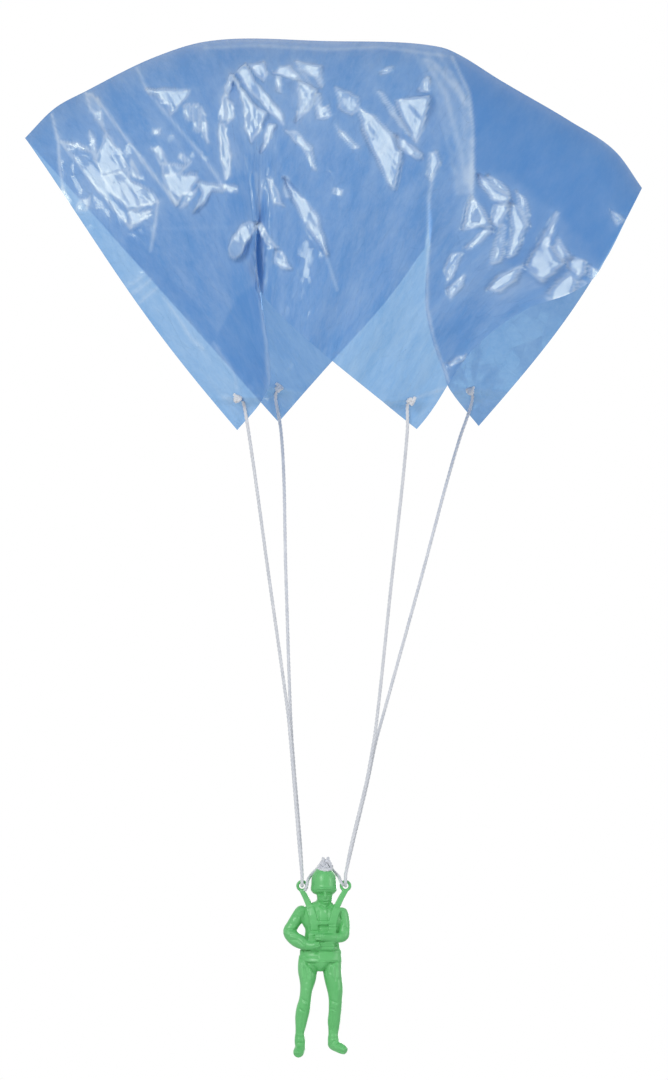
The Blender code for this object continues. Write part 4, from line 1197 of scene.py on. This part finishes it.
# Seams, creases and features tooled into the front of the mould: how high in millimetres
# (below nothing is a cut), half width in pixels, then the places in pixels
TOOLING_PX = [
    # Face: eyes and lids, mouth, chin and jaw
    (-0.4, 1.2, [(320.3, 893.2), (322.3, 893.4)]),
    (-0.4, 1.2, [(328.1, 893.4), (330.1, 893.2)]),
    (0.24, 0.9, [(320.2, 895.2), (322.6, 895.6)]),
    (0.24, 0.9, [(327.8, 895.6), (330.2, 895.2)]),
    (-0.16, 0.8, [(323, 901.6), (328.4, 901.6)]),
    (0.16, 0.8, [(323.8, 900.4), (327.6, 900.4)]),
    (0.2, 0.8, [(324.2, 903), (327.2, 903)]),
    (-0.22, 1.2, [(320.4, 898), (321.4, 902.6)]),
    (-0.22, 1.2, [(330.6, 898), (329.8, 902.6)]),
    (-0.4, 1.1, [(320.4, 905.8), (322.4, 907.2), (325, 907.8), (327.8, 907.2),
                  (329.6, 905.8)]),
    # Helmet: strap line and rim
    (-0.2, 0.8, [(315.4, 871.5), (313.2, 879), (313, 886.5)]),
    (-0.2, 0.8, [(332.6, 871.5), (334.6, 879), (334.8, 886.5)]),
    # Collar, chest and harness
    (-0.22, 1, [(327.6, 906.4), (328, 911.4)]),
    (0.16, 1.1, [(324.6, 907.2), (326.6, 912)]),
    (0.16, 1.1, [(331, 906.8), (330.2, 911.8)]),
    (-0.14, 0.9, [(308.6, 912), (309.8, 920), (309.8, 929)]),
    (-0.2, 0.8, [(318.8, 911), (318.8, 929)]),
    (-0.2, 0.8, [(327.6, 913), (327.6, 919.8)]),
    (-0.16, 0.8, [(328.2, 924.3), (334.6, 924.3)]),
    (-0.16, 0.8, [(319, 927.2), (336, 927)]),
    (-0.24, 0.9, [(311, 930.8), (319.6, 930.8)]),
    (0.17, 1.4, [(312, 933.6), (319, 934.6)]),
    (0.17, 1.2, [(322, 934.2), (331, 935.4)]),
    # Hands and the pack below them
    (-0.22, 0.7, [(314.6, 935.4), (319.4, 935)]),
    (-0.22, 0.7, [(314.6, 937.6), (319.6, 937.6)]),
    (-0.22, 0.7, [(316.2, 943.2), (320, 942.2)]),
    (-0.22, 0.7, [(315.8, 945.4), (319.8, 944.6)]),
    (-0.18, 0.9, [(323.4, 933.6), (323.8, 940.6)]),
    (0.18, 1.1, [(320.2, 942.7), (332, 942.5)]),
    (-0.14, 0.9, [(314.4, 951.2), (318, 951.8), (332, 951.3)]),
    (-0.22, 1.2, [(315.4, 952), (317.4, 951.9)]),
    (-0.2, 0.8, [(321, 947), (333, 946.6)]),
    (-0.3, 1.1, [(333.6, 943.6), (334.6, 945), (338.8, 944.6)]),
    (-0.26, 1.1, [(300.6, 948.2), (304.2, 951.2)]),
    # Right sleeve
    (-0.24, 1.4, [(338.4, 927.4), (340, 925.2), (341.8, 923.2)]),
    (-0.2, 0.9, [(339, 915), (341, 919)]),
    (0.22, 1.5, [(340.4, 931.6), (343.8, 936)]),
    (-0.2, 0.9, [(338, 933), (336.4, 940.6)]),
    (-0.24, 0.9, [(345, 927), (347.4, 929.6)]),
    # Left sleeve
    (-0.2, 1.1, [(301.4, 917.6), (300.8, 923.6), (297.6, 928), (294.6, 929.8)]),
    (-0.22, 1, [(286.2, 929.6), (291.6, 929.4), (295.6, 930)]),
    (0.22, 1.3, [(285.2, 932.6), (288.4, 934.2)]),
    (0.22, 1.3, [(290.8, 931.8), (297, 934.4)]),
    (0.22, 1.3, [(291, 936.4), (295.8, 936.8)]),
    (-0.2, 0.9, [(291, 939.6), (298, 940), (303, 944.6)]),
    (0.2, 1.2, [(298, 908.8), (299.6, 911.6)]),
    (0.17, 1.2, [(289.6, 920.6), (292, 922)]),
    (-0.24, 0.9, [(293, 914.4), (298.4, 917)]),
    (-0.22, 0.9, [(304.4, 940.4), (305.6, 947.2)]),
    # Jacket hem, crotch and thighs
    (-0.26, 1.1, [(300.8, 958.8), (306.8, 962.6), (315.4, 963.8)]),
    (-0.22, 1.1, [(307.6, 963.8), (312.8, 970), (317, 974.4)]),
    (-0.22, 1.1, [(336.8, 961.6), (330, 963.6), (325.2, 967.2), (322.6, 970.6)]),
    (-0.16, 1, [(331.6, 967.4), (330.6, 972)]),
    (-0.16, 1, [(326.6, 970.6), (327.4, 975)]),
    (-0.2, 0.8, [(320, 960.8), (337, 961)]),
    (-0.16, 0.8, [(305, 956.6), (318, 957)]),
    (0.22, 1.3, [(300.6, 964), (302.4, 977)]),
    (0.2, 1.3, [(305.6, 964.8), (308, 973)]),
    (0.2, 1.2, [(310.4, 969), (310.6, 979.6)]),
    (-0.2, 1, [(304.2, 968), (306.4, 982)]),
    (0.2, 1.3, [(333, 967.6), (333.4, 976)]),
    (0.2, 1.3, [(338.2, 965.8), (338.6, 977)]),
    (-0.2, 1, [(335.8, 966.8), (336, 981)]),
    # Trouser legs
    (-0.2, 1, [(301.6, 998.4), (306, 1001.4)]),
    (-0.2, 1, [(299.4, 1008.6), (304, 1011.4)]),
    (0.17, 1.2, [(306.4, 990), (305.6, 1004)]),
    (-0.17, 1, [(303.6, 1014), (302.4, 1028)]),
    (-0.2, 1, [(331, 1000.4), (336.8, 1002.8)]),
    (-0.2, 1, [(330.6, 1008), (335, 1010.2)]),
    (0.17, 1.2, [(338.2, 990), (337.2, 1006)]),
    (-0.17, 1, [(332, 1012), (331.4, 1030)]),
    # Boots
    (-0.18, 0.9, [(294.8, 1036.6), (304.6, 1036.8)]),
    (-0.18, 0.9, [(327.8, 1038), (338.6, 1037.6)]),
    (-0.16, 0.8, [(297, 1042.6), (302, 1042.8)]),
    (-0.16, 0.8, [(296.8, 1045.6), (301.8, 1046)]),
    (-0.16, 0.8, [(333.4, 1041.6), (337, 1039.8)]),
    (-0.16, 0.8, [(336.2, 1043.6), (339.6, 1041.8)]),
    (0.17, 1.4, [(295.4, 1052.6), (300, 1052)]),
    (0.17, 1.4, [(339.6, 1047.6), (344, 1049.4)]),
    (-0.22, 0.8, [(328.2, 1047.6), (338, 1050.8), (347, 1052.6)]),
]
TOOLING_FACING = 0.25


def figure_place(across_px, down_px, depth_px):
    """A place on the figure, measured from the middle of the axis through its rings."""
    across = (across_px - RING_MIDDLE_PX) * PIXEL
    depth = depth_px * PIXEL - RING_SETBACK
    return RING_AXIS + Vector((across, depth, (RING_BAR_PX - down_px) * PIXEL))


def bridge(work, loops):
    """Faces between each loop of points and the next."""
    sides = len(loops[0])
    for low, high in zip(loops, loops[1:]):
        for n in range(sides):
            m = (n + 1) % sides
            work.faces.new((low[n], low[m], high[m], high[n]))


def add_form(work, sections, sides):
    """Lofts one limb: an oval, or an oblong where there are four sides, square to its path."""
    if sides > 4:
        steps = np.linalg.norm(np.diff(np.array(sections), axis=0), axis=1)
        reached = np.concatenate([[0.0], np.cumsum(steps)])
        keys = [(far, *section) for far, section in zip(reached, sections)]
        count = FORM_STEPS * (len(sections) - 1)
        sections = [smooth_through(keys, far) for far in np.linspace(0, reached[-1], count + 1)]
    centres = [figure_place(*section[:3]) for section in sections]
    turn = math.pi / 4 if sides == 4 else 0.0
    spread = math.sqrt(2) if sides == 4 else 1.0
    loops = []
    for k, section in enumerate(sections):
        ahead = centres[min(k + 1, len(centres) - 1)] - centres[max(k - 1, 0)]
        ahead.normalize()
        depth_way = (Vector((0, 1, 0)) - ahead * ahead.y).normalized()
        side_way = depth_way.cross(ahead).normalized()
        loop = []
        for n in range(sides):
            angle = turn + 2 * math.pi * n / sides
            offset = side_way * (section[3] * math.cos(angle))
            offset += depth_way * (section[4] * math.sin(angle))
            loop.append(work.verts.new(centres[k] + offset * (spread * PIXEL)))
        loops.append(loop)
    bridge(work, loops)
    work.faces.new(tuple(reversed(loops[0])))
    work.faces.new(tuple(loops[-1]))


def add_ring(work, side):
    """A shoulder ring, whose bar the string bends under."""
    middle = RING_AXIS + Vector((side * RING_SPACING / 2, 0, -RING_RADIUS))
    rows = []
    for k in range(RING_SIDES):
        round_ring = 2 * math.pi * k / RING_SIDES
        way = Vector((math.cos(round_ring), 0, math.sin(round_ring)))
        row = []
        for n in range(RING_WIRE_SIDES):
            round_wire = 2 * math.pi * n / RING_WIRE_SIDES
            offset = way * math.cos(round_wire) + Vector((0, math.sin(round_wire), 0))
            row.append(work.verts.new(middle + way * RING_RADIUS + offset * RING_WIRE_RADIUS))
        rows.append(row)
    bridge(work, rows + rows[:1])


FLOW_SPACING = 5 * MM
# The real skin is finer. This is drawn as coarse as it needs to be to show.
GRAIN_SPACING = 0.35 * MM
GRAIN_HEIGHT = 0.05 * MM


def make_moulding_finish():
    """Moulded low density polythene: soft gloss, faintly waxy, the colour all through it."""
    made, tree = new_finish("moulded green polythene")
    place = node(tree, "ShaderNodeTexCoord")
    flow = node(tree, "ShaderNodeTexNoise",
                {"Vector": place.outputs["Object"], "Scale": 1 / FLOW_SPACING, "Detail": 2.0})
    grain = node(tree, "ShaderNodeTexNoise",
                 {"Vector": place.outputs["Object"], "Scale": 1 / GRAIN_SPACING, "Detail": 2.0})
    colour = node(tree, "ShaderNodeMix", {"Factor": flow, 6: linear("5ABB69"), 7: linear("74CC80")},
                  data_type="RGBA")
    bump = node(tree, "ShaderNodeBump", {"Strength": 0.15, "Distance": GRAIN_HEIGHT, "Height": grain})
    shader = node(tree, "ShaderNodeBsdfPrincipled",
                  {"Base Color": colour.outputs[2], "Roughness": 0.34, "IOR": 1.51, "Normal": bump})
    node(tree, "ShaderNodeOutputMaterial", {"Surface": shader})
    return made


def biggest_shell(mesh):
    """Keeps the largest closed shell of a mesh and drops the crumbs inside or beside it."""
    work = bmesh.new()
    work.from_mesh(mesh)
    left = set(work.verts)
    shells = []
    while left:
        stack = [left.pop()]
        shell = set(stack)
        while stack:
            for edge in stack.pop().link_edges:
                for vert in edge.verts:
                    if vert not in shell:
                        shell.add(vert)
                        stack.append(vert)
        left -= shell
        shells.append(shell)
    keep = max(shells, key=len)
    bmesh.ops.delete(work, geom=[v for v in work.verts if v not in keep], context="VERTS")
    work.to_mesh(mesh)
    work.free()


def tool_front(mesh):
    """Cuts and raises the tooling lines on the faces that look forward."""
    places = np.zeros(3 * len(mesh.vertices), dtype=np.float32)
    facing = np.zeros(3 * len(mesh.vertices), dtype=np.float32)
    mesh.vertices.foreach_get("co", places)
    mesh.vertices.foreach_get("normal", facing)
    places, facing = places.reshape(-1, 3), facing.reshape(-1, 3)
    across = (places[:, 0] - RING_AXIS.x) / PIXEL + RING_MIDDLE_PX
    down = RING_BAR_PX - (places[:, 2] - RING_AXIS.z) / PIXEL
    height = np.zeros(len(places))
    for rise, reach, line in TOOLING_PX:
        height += rise * MM * np.exp(-((distance_to_line(across, down, line) / reach) ** 2))
    height *= smooth_step(TOOLING_FACING, 2 * TOOLING_FACING, -facing[:, 1])
    places[:, 1] -= height
    mesh.vertices.foreach_set("co", places.ravel())
    mesh.update()


def make_figure():
    """All the limbs and rings fused to one skin, softened, tooled and thinned."""
    work = bmesh.new()
    for sections, sides in FIGURE_FORMS:
        add_form(work, sections, sides)
    for side in (-1, 1):
        add_ring(work, side)
    bmesh.ops.recalc_face_normals(work, faces=work.faces)
    rough = bpy.data.meshes.new("moulding_forms")
    work.to_mesh(rough)
    work.free()
    shape = add_object("moulding_forms", rough)
    remesh = shape.modifiers.new("One moulding", "REMESH")
    remesh.mode = "VOXEL"
    remesh.voxel_size = FIGURE_VOXEL
    soft = shape.modifiers.new("Soft edges", "SMOOTH")
    soft.factor = SOFTENING
    soft.iterations = SOFTENING_STEPS
    tooled = evaluated_mesh(shape)
    tool_front(tooled)
    shape.modifiers.clear()
    shape.data = tooled
    thin = shape.modifiers.new("Fewer faces", "DECIMATE")
    thin.ratio = FIGURE_KEPT_SHARE
    mesh = evaluated_mesh(shape)
    bpy.data.objects.remove(shape)
    biggest_shell(mesh)
    mesh.shade_smooth()
    made = add_object("moulded_paratrooper", mesh)
    mesh.materials.clear()
    mesh.materials.append(make_moulding_finish())
    return made


figure = make_figure()
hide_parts("paratrooper")
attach(figure, "figure")

# String over the helmet
# The same string is carried from the rings up behind the helmet and tied on top of it in one
# tight knot, so that the figure hangs upright.

HEAD_KNOT_PX = (325.6, 863.2, -2)
HEAD_KNOT_WIDTH = 3.8 * MM
HEAD_KNOT_HEIGHT = 5.0 * MM
HEAD_KNOT_DROP = 0.35 * MM
HEAD_SECOND_SHARE = 0.72
STRAND_STEP = PATH_STEP / 4
HEAD_WRAP_PX = [
    (323.6, 863.4, 1),
    (318.6, 866.4, 0.6),
    (319.8, 869, -4.6),
    (321.8, 869.6, -7.4),
    (325.4, 870, -8.8),
    (329, 869.6, -7.4),
    (331, 869, -4.6),
    (331.6, 866.4, 0.6),
    (327.6, 863.4, 1),
]
STRAND_ROUTES_PX = {
    "left": [
        (304.9, 890.2, -3.2),
        (306.3, 888, -5.4),
        (306.9, 884.4, -5.9),
        (308, 880.2, -3.8),
        (308.8, 878.6, 1),
        (310.4, 876.6, 5.6),
        (312.8, 873.6, 9.4),
        (317.2, 869.2, 8.8),
        (320.4, 865.4, 5.4),
        (323.6, 863.6, 1.4),
    ],
    "right": [
        (343, 885.2, -2.6),
        (341.4, 882.8, -5.2),
        (339.8, 879.2, -2.6),
        (338.8, 876.8, 3),
        (337.4, 875.4, 6.4),
        (335.2, 873.4, 9.4),
        (331.6, 869.2, 8.8),
        (330.4, 865.4, 5.4),
        (327.6, 863.6, 1.4),
    ],
}

head_place = figure_place(*HEAD_KNOT_PX)
head_turns = overhand_knot(HEAD_KNOT_WIDTH, HEAD_KNOT_HEIGHT)
head_path = [head_place + Vector((p.x, p.y, -p.z)) for p in head_turns]
head_second = [
    head_place + HEAD_SECOND_SHARE * Vector((p.x, -p.y, p.z)) - Vector((0, 0, HEAD_KNOT_DROP))
    for p in head_turns
]
head_wrap = resampled([figure_place(*place) for place in HEAD_WRAP_PX], STRAND_STEP)
head_knot = lay_string("helmet_knot", [head_path, head_second, head_wrap], KNOT_TURN_LENGTH)
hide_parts("head_knot")
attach(head_knot, "figure")
for name, route in STRAND_ROUTES_PX.items():
    path = resampled([figure_place(*place) for place in route], STRAND_STEP)
    strand = lay_string(f"helmet_strand_{name}", [path], KNOT_TURN_LENGTH)
    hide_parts(f"neck_strand_{name}")
    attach(strand, "figure")

# Studio
# A pale floor below the toy, a white surround that shows as white behind it, one soft lamp from
# the upper left and two weaker ones, from the right and from behind.

FLOOR_DROP = 400 * MM
FLOOR_RADIUS = 2000 * MM
FLOOR_SIDES = 96
FLOOR_GLOW = 0.6
SURROUND_LIGHT = 0.45


def make_floor_finish():
    """Matt white board, which shows near white and keeps the toy's shadow."""
    made, tree = new_finish("matt white board")
    board = node(tree, "ShaderNodeBsdfDiffuse", {"Color": linear("F2F2F2")})
    glow = node(tree, "ShaderNodeEmission", {"Color": linear("FFFFFF"), "Strength": 1.0})
    path = node(tree, "ShaderNodeLightPath")
    seen = node(tree, "ShaderNodeMath", {0: path.outputs["Is Camera Ray"], 1: FLOOR_GLOW},
                operation="MULTIPLY")
    shown = node(tree, "ShaderNodeMixShader", {0: seen, 1: board, 2: glow})
    node(tree, "ShaderNodeOutputMaterial", {"Surface": shown})
    return made


disc = bmesh.new()
bmesh.ops.create_circle(disc, cap_ends=True, radius=FLOOR_RADIUS, segments=FLOOR_SIDES)
bmesh.ops.translate(disc, verts=disc.verts, vec=(0, 0, -FLOOR_DROP))
floor_mesh = bpy.data.meshes.new("floor")
disc.to_mesh(floor_mesh)
disc.free()
floor_mesh.materials.append(make_floor_finish())
floor = add_object("floor", floor_mesh)

world = bpy.data.worlds.new("white surround")
world.use_nodes = True
world.node_tree.nodes.clear()
tree = world.node_tree
path = node(tree, "ShaderNodeLightPath")
direct = node(tree, "ShaderNodeMath", {0: path.outputs["Is Camera Ray"], 1: path.outputs["Is Glossy Ray"]},
              operation="MAXIMUM")
shown = node(tree, "ShaderNodeMath", {0: direct, 1: path.outputs["Is Transmission Ray"]},
             operation="MAXIMUM")
level = node(tree, "ShaderNodeMapRange", {"Value": shown, "To Min": SURROUND_LIGHT, "To Max": 1.0})
surround = node(tree, "ShaderNodeBackground", {"Color": linear("FFFFFF"), "Strength": level})
node(tree, "ShaderNodeOutputWorld", {"Surface": surround})
bpy.context.scene.world = world

LAMP_AIM = Vector((0, 0, -0.06))
for name, place, size, power in (
    ("lamp_left", (-0.90, -1.70, 0.74), 0.70, 17.0),
    ("lamp_right", (1.75, -0.70, 0.15), 0.60, 6.0),
    ("lamp_back", (0.40, 1.80, -0.15), 0.80, 12.0),
):
    lamp_data = bpy.data.lights.new(name, "AREA")
    lamp_data.size = size
    lamp_data.energy = power
    lamp = add_object(name, lamp_data)
    lamp.location = place
    lamp.rotation_euler = (LAMP_AIM - lamp.location).to_track_quat("-Z", "Y").to_euler()

bpy.context.scene.view_settings.view_transform = "Standard"
